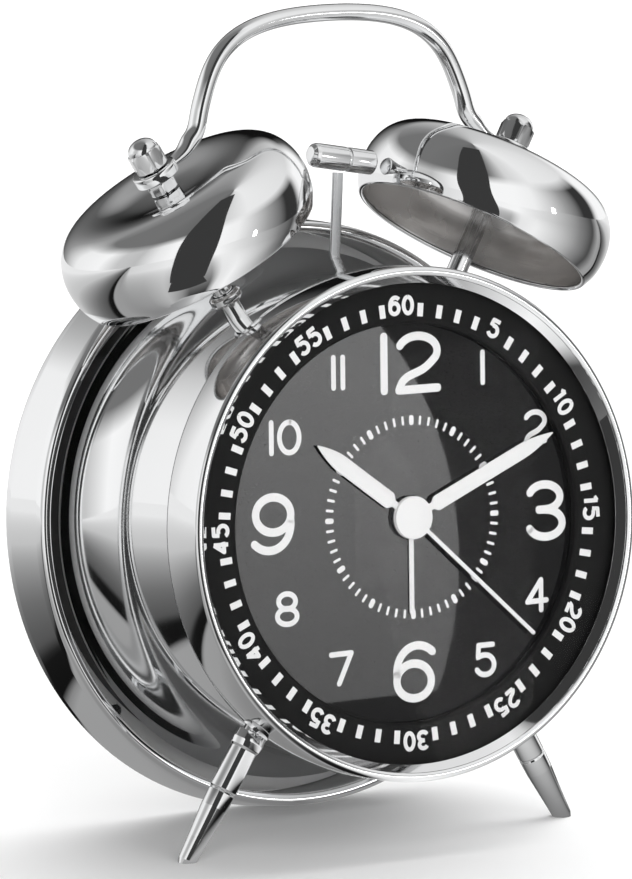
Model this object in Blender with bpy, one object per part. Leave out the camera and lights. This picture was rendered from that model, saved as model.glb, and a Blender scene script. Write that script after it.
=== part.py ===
"""Twin-bell alarm clock.

Clock frame: origin on the case axis at the face of the minute ring, +X to the right seen from
the front, +Y to the back, +Z up.  The whole clock then leans back on its two front legs and the
bottom edge of its rear rim, with its lowest points on the plane z = 0.
"""
import math

import bmesh
import bpy
from mathutils import Matrix, Vector

MM = 0.001
GAP = 0.3 * MM                     # air kept between touching solids

# Stance
LEAN = math.radians(6.0)

# Front ring, lens and dial
BEZEL_RADIUS = 51.9 * MM
BEZEL_FRONT = -4.2 * MM
BEZEL_BACK = 8.0 * MM
RING_OUTER = 48.5 * MM
RING_INNER = 40.3 * MM
LENS_RADIUS = 49.6 * MM
LENS_FRONT = -1.5 * MM
LENS_THICKNESS = 0.9 * MM
RING_THICKNESS = 1.9 * MM
DIAL_FRONT = 2.2 * MM
DIAL_THICKNESS = 0.8 * MM
DIAL_RADIUS = 47.4 * MM
DIAL_HOLE = 4.4 * MM
HAND_AXIS_X = 1.8 * MM             # the movement sits a little off the case axis
HAND_AXIS_Z = 1.0 * MM

# Hands, from the lens towards the dial
HAND_THICKNESS = 0.2 * MM
HAND_GAP = 0.2 * MM
HAND_STEP = HAND_THICKNESS + HAND_GAP
ALARM_FRONT = DIAL_FRONT - HAND_STEP
HOUR_FRONT = ALARM_FRONT - HAND_STEP
MINUTE_FRONT = HOUR_FRONT - HAND_STEP
SECOND_FRONT = MINUTE_FRONT - HAND_STEP
HUB_RADIUS = 4.35 * MM
HOUR_LENGTH = 26.8 * MM
MINUTE_LENGTH = 37.3 * MM
SECOND_LENGTH = 37.9 * MM
ALARM_LENGTH = 19.6 * MM

# Hand positions at rest, clockwise from the case's top; the dial itself is fitted 2.3 degrees on
HOUR_TURN = math.radians(-53.0)
MINUTE_TURN = math.radians(67.0)
SECOND_TURN = math.radians(133.3)
ALARM_TURN = math.radians(182.3)

# Movement
MOVEMENT_HALF = 27.0 * MM
MOVEMENT_FRONT = 3.4 * MM
MOVEMENT_SPLIT = 11.0 * MM
MOVEMENT_BACK = 19.0 * MM
MOVEMENT_WALL = 1.2 * MM
MOVEMENT_CORNER = 4.0 * MM
BUSH_INNER = 3.1 * MM
BUSH_OUTER = 4.0 * MM
BUSH_FRONT = 2.3 * MM
WHEEL_THICKNESS = 0.9 * MM
TOOTH_DEPTH = 0.5 * MM
HOUR_WHEEL_RADIUS = 10.5 * MM
SECOND_WHEEL_RADIUS = 11.0 * MM
ALARM_WHEEL_FRONT = 5.4 * MM
HOUR_WHEEL_FRONT = 7.3 * MM
MINUTE_WHEEL_FRONT = 9.2 * MM
SECOND_WHEEL_FRONT = 12.6 * MM

# Drum and rear rim
DRUM_RADIUS = 49.6 * MM
DRUM_WALL = 0.8 * MM
DRUM_FRONT = 3.3 * MM
FLARE_START = 28.0 * MM             # behind this the drum flares outwards
FLARE_RADIUS = 34.0 * MM
FLARE_ANGLE = 32.0                  # degrees
SKIRT_OUTER = 52.2 * MM
SKIRT_INNER = 50.8 * MM
SKIRT_FRONT = 43.4 * MM
SKIRT_BACK = 56.0 * MM
RIM_FRONT = 43.0 * MM
RIM_FLOOR = 56.3 * MM
RIM_FLOOR_THICKNESS = 1.0 * MM
RIM_FRONT_RADIUS = 60.4 * MM
RIM_BACK_RADIUS = 61.3 * MM
RIM_BACK = 59.4 * MM
RIM_FLOOR_HOLE = 47.0 * MM
RIM_INNER_RADIUS = 58.6 * MM
COVER_RADIUS = 58.5 * MM
COVER_FRONT = 57.6 * MM
COVER_BACK = 59.2 * MM
SCREW_CIRCLE = 54.0 * MM
SCREW_COUNT = 4

# Controls on the back: x and z of each, as seen from the front
STEM_RADIUS = 1.6 * MM
KNOB_RADIUS = 6.5 * MM
KNOB_BACK = 66.5 * MM
TIME_KNOB = (14.0 * MM, 14.0 * MM)
ALARM_KNOB = (-12.0 * MM, 14.0 * MM)
SWITCH_PLACE = (0.0, 34.0 * MM)
SWITCH_TRAVEL = 5.0 * MM
BUTTON_PLACE = (0.0, -8.0 * MM)
BUTTON_RADIUS = 4.0 * MM

# Battery bay, by the x and z corners of its opening
BAY_LOW = (-27.0 * MM, -35.6 * MM)
BAY_HIGH = (27.0 * MM, -20.2 * MM)
BAY_DEPTH = 17.0 * MM
DOOR_THICKNESS = 1.4 * MM
BATTERY_RADIUS = 7.1 * MM
BATTERY_LENGTH = 49.0 * MM
BATTERY_SHIFT = 0.4 * MM

# Bells
BELL_ANGLE = math.radians(30.0)
BELL_Y = 22.2 * MM
BELL_RIM_HEIGHT = 63.9 * MM        # distances along the post are taken from the case axis
BELL_RIM_RADIUS = 25.2 * MM
BELL_WALL = 0.9 * MM
BELL_SEAT_HEIGHT = 16.0 * MM
POST_RADIUS = 2.1 * MM
STUD_RADIUS = 1.5 * MM
BORE_RADIUS = STUD_RADIUS + GAP
SPACER_HEIGHT = 2.3 * MM
EYE_THICKNESS = 2.4 * MM
EYE_RADIUS = 4.7 * MM
NUT_HEX_HEIGHT = 4.1 * MM
NUT_DOME_HEIGHT = 2.3 * MM
NUT_CORNER_RADIUS = 3.75 * MM

# Handle
HANDLE_TOP = 102.9 * MM
HANDLE_WIDTH = 2.2 * MM            # half width along Y
HANDLE_HEIGHT = 1.75 * MM          # half height of the bar
FOOT_HEIGHTS = (0.95 * MM, MM, 1.3 * MM)   # the bar is flatter where it runs into the eyes

# Hammer
HAMMER_PIVOT = Vector((-2.2, 19.4, 40.0)) * MM
HAMMER_REST_TILT = math.radians(5.5)
HAMMER_HEAD_TILT = math.radians(10.0)
HAMMER_HEAD_RADIUS = 2.5 * MM
HAMMER_HEAD_LENGTH = 15.0 * MM
ARM_WIDTH = 2.3 * MM
ARM_THICKNESS = 0.8 * MM
BRACKET_FRONT = 24.4 * MM
BRACKET_BACK = 25.6 * MM
MOTOR_RADIUS = 7.5 * MM
MOTOR_Z = 31.5 * MM
SHAFT_RADIUS = 1.0 * MM

# Legs
LEG_ROOT = Vector((29.8, 14.4, -39.5)) * MM
LEG_TIP = Vector((45.6, 17.7, -66.1)) * MM
LEG_RADIUS = 2.85 * MM
LEG_STUD_RADIUS = 2.0 * MM

# Facets
CASE_SIDES = 48
BELL_SIDES = 40
SMALL_SIDES = 16


# ---------------------------------------------------------------- materials

def material(name, colour, roughness, metallic=0.0, alpha=1.0):
    """A plain Principled material, made once for each name."""
    found = bpy.data.materials.get(name)
    if found:
        return found
    made = bpy.data.materials.new(name)
    made.use_nodes = True
    shader = made.node_tree.nodes["Principled BSDF"]
    shader.inputs["Base Color"].default_value = (*colour, 1.0)
    shader.inputs["Roughness"].default_value = roughness
    shader.inputs["Metallic"].default_value = metallic
    shader.inputs["Alpha"].default_value = alpha
    made.diffuse_color = (*colour, alpha)
    return made


def chrome():
    return material("chrome", (0.82, 0.83, 0.84), 0.08, 1.0)


def steel():
    return material("steel", (0.56, 0.57, 0.58), 0.3, 1.0)


def brass():
    return material("brass", (0.72, 0.54, 0.25), 0.35, 1.0)


def black_plastic():
    return material("black_plastic", (0.02, 0.02, 0.022), 0.45)


def dial_black():
    return material("dial_black", (0.03, 0.031, 0.034), 0.25)


def white_enamel():
    return material("white_enamel", (0.86, 0.86, 0.85), 0.4)


def clear_glass():
    return material("clear_glass", (0.95, 0.97, 1.0), 0.03, 0.0, 0.12)


def natural_plastic():
    return material("natural_plastic", (0.72, 0.72, 0.68), 0.4)


def board_green():
    return material("board_green", (0.03, 0.18, 0.08), 0.5)


def battery_label():
    return material("battery_label", (0.75, 0.42, 0.06), 0.35)


# ---------------------------------------------------------------- shape tools

def add_object(name, mesh, finish, root, place):
    """Link a mesh to the scene, shaded smooth between its sharp edges, under the clock's root."""
    mesh.materials.append(finish)
    mesh.shade_smooth()
    mesh.set_sharp_from_angle(angle=math.radians(35.0))
    made = bpy.data.objects.new(name, mesh)
    bpy.context.scene.collection.objects.link(made)
    made.parent = root
    made.matrix_local = place
    return made


def close_mesh(name, shape):
    """Turn a closed bmesh into a mesh whose faces point out."""
    bmesh.ops.recalc_face_normals(shape, faces=shape.faces)
    mesh = bpy.data.meshes.new(name)
    shape.to_mesh(mesh)
    shape.free()
    return mesh


def ring_of(shape, radius, height, sides, tooth_depth):
    """One ring of vertices round local Z, or one vertex where the radius is zero."""
    if radius <= 0.0:
        return [shape.verts.new((0.0, 0.0, height))]
    ring = []
    for index in range(sides):
        turn = 2.0 * math.pi * index / sides
        reach = radius - (tooth_depth if index % 2 else 0.0)
        ring.append(shape.verts.new((reach * math.cos(turn), reach * math.sin(turn), height)))
    return ring


def join_rings(shape, low, high):
    """Fill between two neighbouring rings, either of which may be a single point."""
    count = max(len(low), len(high))
    for index in range(count):
        after = (index + 1) % count
        corners = [low[index % len(low)], low[after % len(low)],
                   high[after % len(high)], high[index % len(high)]]
        corners = list(dict.fromkeys(corners))
        if len(corners) > 2:
            shape.faces.new(corners)


def turned_mesh(name, profile, sides, tooth_depth=0.0):
    """Turn an outline of (radius, height) points round local Z.

    The outline is a closed loop, or starts and ends on the axis.  With a tooth depth, every other
    point of the outermost radius is pulled in, which makes a toothed or ribbed edge.
    """
    shape = bmesh.new()
    widest = max(radius for radius, height in profile)
    rings = []
    for radius, height in profile:
        depth = tooth_depth if radius > widest - 1e-7 else 0.0
        rings.append(ring_of(shape, radius, height, sides, depth))
    last = len(rings) if profile[0][0] > 0.0 else len(rings) - 1
    for index in range(last):
        join_rings(shape, rings[index], rings[(index + 1) % len(rings)])
    return close_mesh(name, shape)


def prism_mesh(name, outline, front, back):
    """Extrude an outline of (x, z) points from front to back along Y."""
    shape = bmesh.new()
    near = [shape.verts.new((x, front, z)) for x, z in outline]
    far = [shape.verts.new((x, back, z)) for x, z in outline]
    shape.faces.new(near)
    shape.faces.new(far[::-1])
    join_rings(shape, near, far)
    return close_mesh(name, shape)


def box_mesh(name, low, high, edge=0.0):
    """A box between two corners, with its edges broken by a small bevel."""
    shape = bmesh.new()
    size = Vector(high) - Vector(low)
    middle = (Vector(high) + Vector(low)) / 2.0
    bmesh.ops.create_cube(shape, size=1.0)
    bmesh.ops.scale(shape, vec=size, verts=shape.verts)
    bmesh.ops.translate(shape, vec=middle, verts=shape.verts)
    if edge > 0.0:
        bmesh.ops.bevel(shape, geom=list(shape.edges), offset=edge, segments=1, affect="EDGES")
    return close_mesh(name, shape)


def arc(centre_x, centre_y, radius, start, end, steps):
    """Points of an arc, with its angles in degrees."""
    points = []
    for index in range(steps + 1):
        turn = math.radians(start + (end - start) * index / steps)
        points.append((centre_x + radius * math.cos(turn), centre_y + radius * math.sin(turn)))
    return points


def cut(target, cutter):
    """Cut one solid out of another and keep the cutter out of the model."""
    cutter.hide_render = True
    cutter.display_type = "WIRE"
    modifier = target.modifiers.new("cut_" + cutter.name, "BOOLEAN")
    modifier.operation = "DIFFERENCE"
    modifier.solver = "EXACT"
    modifier.object = cutter


def unite(target, addition):
    """Weld a helper solid onto another and keep the helper itself out of the model."""
    addition.hide_render = True
    addition.display_type = "WIRE"
    modifier = target.modifiers.new("with_" + addition.name, "BOOLEAN")
    modifier.operation = "UNION"
    modifier.solver = "EXACT"
    modifier.object = addition


def along_y(x=0.0, y=0.0, z=0.0):
    """Placement whose local Z runs to the back of the clock."""
    return Matrix.Translation((x, y, z)) @ Matrix.Rotation(-math.pi / 2.0, 4, "X")


def radial(angle, y):
    """Placement whose local Z leaves the case axis at an angle from straight up."""
    return Matrix.Translation((0.0, y, 0.0)) @ Matrix.Rotation(angle, 4, "Y")


def toward(start, end):
    """Placement at a start point whose local Z points to an end point."""
    direction = (end - start).normalized()
    return Matrix.Translation(start) @ direction.to_track_quat("Z", "Y").to_matrix().to_4x4()


def at(x=0.0, y=0.0, z=0.0):
    return Matrix.Translation((x, y, z))


def bar(radius, low, high):
    """Outline of a plain round bar."""
    return [(0.0, low), (radius, low), (radius, high), (0.0, high)]


def tube(inner, outer, low, high):
    """Outline of a round tube."""
    return [(inner, low), (outer, low), (outer, high), (inner, high)]


def hex_mesh(name, corner_radius, low, high, bore):
    """A hexagonal nut with a plain round bore, chamfered at both ends."""
    shape = bmesh.new()
    chamfer = 0.35 * MM
    levels = [(corner_radius - chamfer, low), (corner_radius, low + chamfer),
              (corner_radius, high - chamfer), (corner_radius - chamfer, high)]
    rings = [hex_ring(shape, radius, height) for radius, height in levels]
    rings.append(ring_of(shape, bore, high, 12, 0.0))
    rings.append(ring_of(shape, bore, low, 12, 0.0))
    for index in range(len(rings)):
        join_rings(shape, rings[index], rings[(index + 1) % len(rings)])
    return close_mesh(name, shape)


def hex_ring(shape, corner_radius, height):
    """Twelve points round a hexagon: its corners and the middles of its flats."""
    ring = []
    for index in range(12):
        turn = math.pi * index / 6.0
        reach = corner_radius if index % 2 == 0 else corner_radius * math.cos(math.pi / 6.0)
        ring.append(shape.verts.new((reach * math.cos(turn), reach * math.sin(turn), height)))
    return ring


# ---------------------------------------------------------------- case

def rim_profile():
    """Section of the rear rim: rolled front lip, band, back edge and the seat of the cover."""
    lip_radius = 1.25 * MM
    lip_centre = RIM_FRONT_RADIUS - lip_radius
    outline = [(RIM_INNER_RADIUS, RIM_FLOOR + RIM_FLOOR_THICKNESS)]
    outline += arc(lip_centre, RIM_FRONT + lip_radius, lip_radius, 180.0, 360.0, 6)
    outline += [(RIM_BACK_RADIUS, 54.6 * MM), (RIM_BACK_RADIUS, 56.2 * MM)]
    outline += [(RIM_BACK_RADIUS - 0.8 * MM, 57.8 * MM), (RIM_BACK_RADIUS - 1.9 * MM, RIM_BACK)]
    outline += [(COVER_RADIUS + GAP, RIM_BACK)]
    outline += [(COVER_RADIUS + GAP, RIM_FLOOR + RIM_FLOOR_THICKNESS)]
    return outline


def floor_drop():
    """Distance from the case axis down to the floor under the leaning clock."""
    return max(radius * math.cos(LEAN) + depth * math.sin(LEAN) for radius, depth in rim_profile())


def make_front(root):
    round_off = 1.0 * MM
    outline = [(RING_OUTER, LENS_FRONT - GAP), (RING_OUTER, LENS_FRONT - 2.0 * GAP)]
    outline += arc(BEZEL_RADIUS - round_off, BEZEL_FRONT + round_off, round_off, 225.0, 360.0, 5)
    outline += [(BEZEL_RADIUS, BEZEL_BACK), (LENS_RADIUS + GAP + 0.2 * MM, BEZEL_BACK)]
    outline += [(LENS_RADIUS + GAP + 0.2 * MM, LENS_FRONT - GAP)]
    mesh = turned_mesh("front_bezel", outline, CASE_SIDES)
    add_object("front_bezel", mesh, chrome(), root, along_y())

    lens_back = LENS_FRONT + LENS_THICKNESS
    mesh = turned_mesh("lens", bar(LENS_RADIUS, LENS_FRONT, lens_back), CASE_SIDES)
    add_object("lens", mesh, clear_glass(), root, along_y())

    outline = [(RING_INNER, 0.0), (LENS_RADIUS, 0.0),
               (LENS_RADIUS, RING_THICKNESS), (RING_INNER, RING_THICKNESS)]
    mesh = turned_mesh("minute_ring", outline, CASE_SIDES)
    add_object("minute_ring", mesh, dial_black(), root, along_y())

    dial_back = DIAL_FRONT + DIAL_THICKNESS
    mesh = turned_mesh("dial_plate", tube(DIAL_HOLE, DIAL_RADIUS, DIAL_FRONT, dial_back), CASE_SIDES)
    add_object("dial_plate", mesh, dial_black(), root, along_y(HAND_AXIS_X, 0.0, HAND_AXIS_Z))


def drum_profile():
    """Section of the drum: a straight wall that flares outwards near the back."""
    centre = DRUM_RADIUS + FLARE_RADIUS
    inner = DRUM_RADIUS - DRUM_WALL
    end = 180.0 - FLARE_ANGLE
    outline = [(inner, DRUM_FRONT), (DRUM_RADIUS, DRUM_FRONT)]
    outline += arc(centre, FLARE_START, FLARE_RADIUS, 180.0, end, 6)
    outline += arc(centre, FLARE_START, FLARE_RADIUS + DRUM_WALL, end, 180.0, 6)
    return outline


def make_case(root):
    mesh = turned_mesh("case_drum", drum_profile(), CASE_SIDES)
    drum = add_object("case_drum", mesh, chrome(), root, along_y())
    outline = tube(SKIRT_INNER, SKIRT_OUTER, SKIRT_FRONT, SKIRT_BACK)
    mesh = turned_mesh("drum_skirt", outline, CASE_SIDES)
    add_object("drum_skirt", mesh, black_plastic(), root, along_y())

    for side, label in ((-1, "left"), (1, "right")):
        reach = 8.0 * MM
        mesh = turned_mesh("post_drill_" + label, bar(POST_RADIUS + GAP, 45.0 * MM, 53.0 * MM), 12)
        drill = add_object("post_drill_" + label, mesh, steel(), root,
                           radial(side * BELL_ANGLE, BELL_Y))
        cut(drum, drill)
        start, end = leg_axis(side)
        mesh = turned_mesh("leg_drill_" + label, bar(LEG_STUD_RADIUS + GAP, -reach, reach), 12)
        drill = add_object("leg_drill_" + label, mesh, steel(), root, toward(start, end))
        cut(drum, drill)

    slot_half = 4.5 * MM
    low = (HAMMER_PIVOT.x - slot_half, HAMMER_PIVOT.y - 1.6 * MM, 46.0 * MM)
    high = (HAMMER_PIVOT.x + slot_half, HAMMER_PIVOT.y + 1.6 * MM, 52.0 * MM)
    slot = add_object("hammer_slot", box_mesh("hammer_slot", low, high), steel(), root, at())
    cut(drum, slot)

    mesh = turned_mesh("rear_rim", rim_profile(), CASE_SIDES)
    add_object("rear_rim", mesh, chrome(), root, along_y())
    outline = tube(RIM_FLOOR_HOLE, RIM_INNER_RADIUS - GAP, RIM_FLOOR,
                   RIM_FLOOR + RIM_FLOOR_THICKNESS)
    mesh = turned_mesh("channel_floor", outline, CASE_SIDES)
    floor = add_object("channel_floor", mesh, chrome(), root, along_y())
    for number, place in enumerate(screw_places()):
        mesh = turned_mesh("floor_drill", bar(1.5 * MM + GAP, 55.0 * MM, 58.5 * MM), 10)
        drill = add_object("floor_drill_%d" % (number + 1), mesh, steel(), root, place)
        cut(floor, drill)


def screw_places():
    """Axes of the screws that hold the back cover, parallel to the case axis."""
    places = []
    for number in range(SCREW_COUNT):
        turn = math.radians(45.0) + 2.0 * math.pi * number / SCREW_COUNT
        places.append(along_y(SCREW_CIRCLE * math.cos(turn), 0.0, SCREW_CIRCLE * math.sin(turn)))
    return places


def leg_axis(side):
    """Root and tip of one leg, mirrored for the left one."""
    start = Vector((side * LEG_ROOT.x, LEG_ROOT.y, LEG_ROOT.z))
    end = Vector((side * LEG_TIP.x, LEG_TIP.y, LEG_TIP.z))
    return start, end


# ---------------------------------------------------------------- back cover and its controls

def make_cover(root):
    """The back cover is one moulding: a disc with the battery bay standing inwards from it."""
    edge = 1.0 * MM
    outline = [(0.0, COVER_FRONT), (COVER_RADIUS, COVER_FRONT), (COVER_RADIUS, COVER_BACK - edge)]
    outline += [(COVER_RADIUS - edge, COVER_BACK), (44.0 * MM, COVER_BACK)]
    outline += [(43.0 * MM, COVER_BACK + edge), (0.0, COVER_BACK + edge)]
    mesh = turned_mesh("back_cover", outline, CASE_SIDES)
    cover = add_object("back_cover", mesh, black_plastic(), root, along_y())

    wall = 1.2 * MM
    low = (BAY_LOW[0] - wall, COVER_FRONT - BAY_DEPTH - wall, BAY_LOW[1] - wall)
    high = (BAY_HIGH[0] + wall, COVER_FRONT + 0.5 * MM, BAY_HIGH[1] + wall)
    shell = add_object("bay_shell", box_mesh("bay_shell", low, high), steel(), root, at())
    unite(cover, shell)

    low = (BAY_LOW[0], COVER_FRONT - BAY_DEPTH, BAY_LOW[1])
    high = (BAY_HIGH[0], COVER_BACK + 5.0 * MM, BAY_HIGH[1])
    cut(cover, add_object("bay_hollow", box_mesh("bay_hollow", low, high), steel(), root, at()))

    holes = [("time_knob_hole", TIME_KNOB, STEM_RADIUS + 2.0 * GAP),
             ("alarm_knob_hole", ALARM_KNOB, STEM_RADIUS + 2.0 * GAP),
             ("button_hole", BUTTON_PLACE, BUTTON_RADIUS + GAP)]
    for name, place, radius in holes:
        mesh = turned_mesh(name, bar(radius, 55.0 * MM, 65.0 * MM), 16)
        cut(cover, add_object(name, mesh, steel(), root, along_y(place[0], 0.0, place[1])))

    stem_half = 1.5 * MM
    reach = SWITCH_TRAVEL / 2.0 + stem_half + GAP
    low = (SWITCH_PLACE[0] - reach, 55.0 * MM, SWITCH_PLACE[1] - stem_half - GAP)
    high = (SWITCH_PLACE[0] + reach, 65.0 * MM, SWITCH_PLACE[1] + stem_half + GAP)
    cut(cover, add_object("switch_slot", box_mesh("switch_slot", low, high), steel(), root, at()))

    for number in range(5):
        middle = (number - 2) * 3.2 * MM
        low = (-34.0 * MM, 55.0 * MM, middle - 0.7 * MM - 4.0 * MM)
        high = (-24.0 * MM, 65.0 * MM, middle + 0.7 * MM - 4.0 * MM)
        name = "sound_slot_%d" % (number + 1)
        cut(cover, add_object(name, box_mesh(name, low, high), steel(), root, at()))

    for number, place in enumerate(screw_places()):
        mesh = turned_mesh("cover_drill", bar(1.5 * MM + GAP, 55.0 * MM, 65.0 * MM), 10)
        drill = add_object("cover_drill_%d" % (number + 1), mesh, steel(), root, place)
        cut(cover, drill)
        make_screw(root, number, place)


def make_screw(root, number, place):
    """A pan-head screw with a plain slot."""
    head = COVER_BACK + GAP
    outline = [(0.0, 55.7 * MM), (1.5 * MM, 55.7 * MM), (1.5 * MM, head), (2.9 * MM, head),
               (2.9 * MM, head + 0.9 * MM), (2.2 * MM, head + 1.5 * MM), (0.0, head + 1.5 * MM)]
    name = "cover_screw_%d" % (number + 1)
    screw = add_object(name, turned_mesh(name, outline, 12), steel(), root, place)
    low = (-4.0 * MM, -0.35 * MM, head + 0.8 * MM)
    high = (4.0 * MM, 0.35 * MM, head + 3.0 * MM)
    groove = "screw_groove_%d" % (number + 1)
    cut(screw, add_object(groove, box_mesh(groove, low, high), steel(), root, place))


def make_knob(root, name, place, stem_front):
    """A ribbed knob and its stem, which runs forward to the movement."""
    knob_front = COVER_BACK + 1.0 * MM + 2.0 * GAP
    chamfer = 0.8 * MM
    outline = [(0.0, stem_front), (STEM_RADIUS, stem_front), (STEM_RADIUS, knob_front),
               (KNOB_RADIUS, knob_front), (KNOB_RADIUS, KNOB_BACK - chamfer),
               (KNOB_RADIUS - chamfer, KNOB_BACK), (0.0, KNOB_BACK)]
    mesh = turned_mesh(name, outline, 40, 0.45 * MM)
    add_object(name, mesh, black_plastic(), root, along_y(place[0], 0.0, place[1]))


def make_switch(root):
    """Alarm on and off slide: a ridged thumb piece, a stem through the slot and a contact shoe."""
    x, z = SWITCH_PLACE
    back = COVER_BACK + 1.0 * MM
    half = 1.5 * MM
    outline_x = [half, half, 4.5 * MM, 4.5 * MM, 3.4 * MM, 3.4 * MM, 1.7 * MM, 1.7 * MM]
    outline_y = [back - 5.0 * MM, back + GAP, back + GAP, back + 2.4 * MM, back + 2.9 * MM,
                 back + 2.9 * MM, back + 2.9 * MM, back + 2.3 * MM]
    points = list(zip(outline_x, outline_y))
    points += [(-px, py) for px, py in reversed(points)]
    shape = bmesh.new()
    low = [shape.verts.new((px, py, -half)) for px, py in points]
    high = [shape.verts.new((px, py, half)) for px, py in points]
    shape.faces.new(low)
    shape.faces.new(high[::-1])
    join_rings(shape, low, high)
    mesh = close_mesh("alarm_switch", shape)
    add_object("alarm_switch", mesh, white_enamel(), root, at(x - SWITCH_TRAVEL / 2.0, 0.0, z))


def make_button(root):
    """Light button: a cap with a collar inside the cover that stops it from falling out."""
    x, z = BUTTON_PLACE
    back = COVER_BACK + 3.0 * MM
    outline = [(0.0, 50.0 * MM), (BUTTON_RADIUS + 1.2 * MM, 50.0 * MM),
               (BUTTON_RADIUS + 1.2 * MM, COVER_FRONT - 2.0 * MM - GAP),
               (BUTTON_RADIUS - 0.3 * MM, COVER_FRONT - 2.0 * MM - GAP),
               (BUTTON_RADIUS - 0.3 * MM, back - 0.5 * MM), (BUTTON_RADIUS - 0.8 * MM, back),
               (0.0, back)]
    mesh = turned_mesh("light_button", outline, 20)
    add_object("light_button", mesh, natural_plastic(), root, along_y(x, 0.0, z))


def make_power(root):
    """Battery, its two contacts and the door over the bay, hinged along its lower edge."""
    middle_z = (BAY_LOW[1] + BAY_HIGH[1]) / 2.0
    middle_y = COVER_FRONT - BAY_DEPTH / 2.0
    nub = 1.0 * MM
    half = BATTERY_LENGTH / 2.0
    outline = [(0.0, -half), (BATTERY_RADIUS, -half), (BATTERY_RADIUS, half),
               (2.6 * MM, half), (2.6 * MM, half + nub), (0.0, half + nub)]
    sideways = Matrix.Rotation(math.pi / 2.0, 4, "Y")
    place = Matrix.Translation((BATTERY_SHIFT, middle_y, middle_z)) @ sideways
    mesh = turned_mesh("battery", outline, 24)
    add_object("battery", mesh, battery_label(), root, place)

    low = (BAY_HIGH[0] - 0.8 * MM, middle_y - 5.0 * MM, middle_z - 5.0 * MM)
    high = (BAY_HIGH[0] - GAP, middle_y + 5.0 * MM, middle_z + 5.0 * MM)
    mesh = box_mesh("contact_plate", low, high, 0.1 * MM)
    add_object("contact_plate", mesh, steel(), root, at())
    make_contact_spring(root, middle_y, middle_z)

    door_front = COVER_BACK + 1.0 * MM + GAP - DOOR_THICKNESS
    lap = 0.4 * MM
    low = (BAY_LOW[0] + lap, door_front, BAY_LOW[1] + lap)
    high = (BAY_HIGH[0] - lap, door_front + DOOR_THICKNESS, BAY_HIGH[1] - lap)
    door = add_object("battery_door", box_mesh("battery_door", low, high, 0.3 * MM),
                      black_plastic(), root, at())
    for number in range(3):
        ridge = BAY_HIGH[1] - (2.2 + 1.6 * number) * MM
        low = (-5.0 * MM, door_front + DOOR_THICKNESS - 0.4 * MM, ridge - 0.4 * MM)
        high = (5.0 * MM, door_front + DOOR_THICKNESS + 1.0 * MM, ridge + 0.4 * MM)
        name = "door_groove_%d" % (number + 1)
        cut(door, add_object(name, box_mesh(name, low, high), steel(), root, at()))


def make_contact_spring(root, middle_y, middle_z):
    """Conical wire spring between the bay wall and the battery's flat end."""
    turns = 3.0
    steps = 30
    wire = 0.35 * MM
    start = BAY_LOW[0] + wire + GAP
    end = BATTERY_SHIFT - BATTERY_LENGTH / 2.0 - wire - GAP
    curve = bpy.data.curves.new("contact_spring", "CURVE")
    curve.dimensions = "3D"
    curve.bevel_depth = wire
    curve.bevel_resolution = 1
    curve.use_fill_caps = True
    spline = curve.splines.new("POLY")
    spline.points.add(steps)
    for index, point in enumerate(spline.points):
        part = index / steps
        turn = 2.0 * math.pi * turns * part
        reach = (4.6 - 2.2 * part) * MM
        x = start + (end - start) * part
        point.co = (x, middle_y + reach * math.cos(turn), middle_z + reach * math.sin(turn), 1.0)
    curve.materials.append(steel())
    spring = bpy.data.objects.new("contact_spring", curve)
    bpy.context.scene.collection.objects.link(spring)
    spring.parent = root


# ---------------------------------------------------------------- movement and hands

def rounded_square(half, corner):
    """Outline of a square with round corners."""
    points = []
    for quarter in range(4):
        sign_x = 1.0 if quarter in (0, 3) else -1.0
        sign_z = 1.0 if quarter in (0, 1) else -1.0
        start = 90.0 * quarter
        points += arc(sign_x * (half - corner), sign_z * (half - corner), corner,
                      start, start + 90.0, 3)
    return points


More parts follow.
